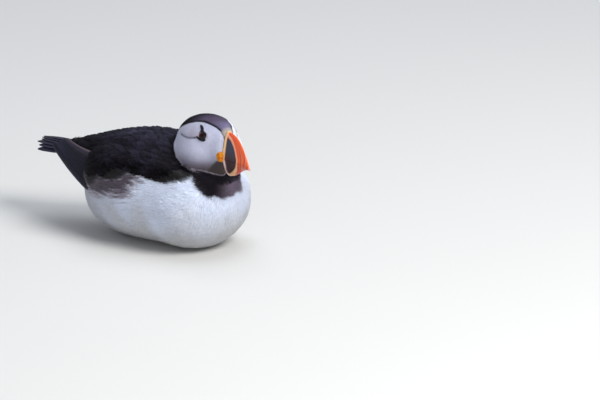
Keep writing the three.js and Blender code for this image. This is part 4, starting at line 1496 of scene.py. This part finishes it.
def make_foot(side_name, side, materials):
    mirror = np.array([1, side, 1])
    skin_part, claws = bmesh.new(), bmesh.new()
    s = np.linspace(0, 1, 24)
    shank = mix(ANKLE * mirror, FOOT * mirror, s)
    add_tube(skin_part, shank, 4.0 - 0.4 * s + 0.5 * np.exp(-((s / 0.12) ** 2)))
    add_tube(skin_part, mix(ANKLE * mirror, KNEE * mirror, s), 4.2 + 0.8 * s)
    for n, length in enumerate(TOE_LENGTHS):
        knuckles = 0.35 * np.cos(s * 2 * np.pi * (n + 2)) * (1 - 0.4 * s)
        path = [toe_at(n, side, length * t, 3.6 - 1.4 * t) for t in s]
        add_tube(skin_part, path, 3.2 - 1.2 * s + knuckles * 0.6)
        nail = [toe_at(n, side, length - 1 + (CLAW_LENGTH + 1) * t, 2.4 - 1.3 * t**2) for t in s]
        add_tube(claws, nail, 1.7 * np.sqrt(1 - 0.96 * s**1.5), around=12)
    for n in range(len(TOE_LENGTHS) - 1):
        add_web(skin_part, n, side)
    foot = object_from(skin_part, f"foot_{side_name}", LEG_ORANGE)
    finished(foot, materials["leg"], "leg_skin", f"leg_{side_name}")
    finished(object_from(claws, f"claws_{side_name}", CLAW_DARK), materials["claw"], "eye_horn")


# ---- stage ----
VIEW_AZIMUTH = 37.0
VIEW_ELEVATION = 16.0
LENS = 400.0
SENSOR = 36.0
PIXELS_PER_MM = 1.17
PICTURE = (600, 400)
ORIGIN_AT = (170.0, 239.0)  # where the floor under the belly falls in the picture, in pixels
LIGHTS = {  # place, size, power and colour
    "key": ((1.6, -0.2, 1.5), 1.2, 43, (1.0, 0.99, 0.97)),
    "sky": ((-0.3, 0.5, 1.9), 1.6, 16, (0.86, 0.92, 1.0)),
    "front": ((1.2, -2.0, 0.6), 1.0, 6, (0.96, 0.98, 1.0)),
}
LIT_POINT = (0, 0, 0.05)
WORLD_COLOUR = (0.86, 0.9, 1.0, 1)
WORLD_STRENGTH = 0.35
FLOOR_HALF_SIZE = 6  # metres


def look(obj, at):
    obj.rotation_euler = (Vector(at) - obj.location).to_track_quat("-Z", "Y").to_euler()


def view_axes():
    a, e = math.radians(VIEW_AZIMUTH), math.radians(VIEW_ELEVATION)
    right = np.array([math.cos(a), math.sin(a), 0])
    back = np.array([math.sin(a) * math.cos(e), -math.cos(a) * math.cos(e), math.sin(e)])
    return right, np.cross(back, right), back


def make_camera():
    right, up, back = view_axes()
    rightwards, upwards = PICTURE[0] / 2 - ORIGIN_AT[0], ORIGIN_AT[1] - PICTURE[1] / 2
    aim = right * rightwards / PIXELS_PER_MM + up * upwards / PIXELS_PER_MM
    width = PICTURE[0] / PIXELS_PER_MM
    data = bpy.data.cameras.new("camera")
    data.lens, data.sensor_width = LENS, SENSOR
    camera = placed("camera", data)
    camera.location = Vector((aim + back * width * LENS / SENSOR) * MM)
    look(camera, aim * MM)
    bpy.context.scene.camera = camera


def area_light(name, at, size, power, tint):
    data = bpy.data.lights.new(name, "AREA")
    data.shape = "DISK"
    data.size, data.energy, data.color = size, power, tint
    light = placed(name, data)
    light.location = at
    look(light, LIT_POINT)


def make_stage(materials):
    bm = bmesh.new()
    bmesh.ops.create_grid(bm, x_segments=12, y_segments=12, size=FLOOR_HALF_SIZE)
    mesh = bpy.data.meshes.new("floor")
    bm.to_mesh(mesh)
    bm.free()
    floor = placed("floor", mesh)
    floor.data.materials.append(materials["floor"])

    for name, values in LIGHTS.items():
        area_light(name, *values)
    world = bpy.data.worlds.new("studio")
    world.use_nodes = True
    background = world.node_tree.nodes["Background"]
    background.inputs["Color"].default_value = WORLD_COLOUR
    background.inputs["Strength"].default_value = WORLD_STRENGTH
    bpy.context.scene.world = world
    bpy.context.scene.view_settings.view_transform = "Standard"


def main():
    make_camera()
    materials = make_materials()
    make_stage(materials)
    skin = Skin()
    make_plumage(skin, materials)
    make_bill(materials)
    make_tail(materials)
    for side_name, side in SIDES.items():
        make_eyeball(side_name, side, materials)
        make_eyelid(side_name, side, materials)
        make_plate(f"upper_{side_name}", UPPER_PLATE, side, skin, materials)
        make_plate(f"lower_{side_name}", LOWER_PLATE, side, skin, materials)
        make_rosette(side_name, side, materials)
        make_flight_feathers(side_name, side, materials)
        make_foot(side_name, side, materials)


main()
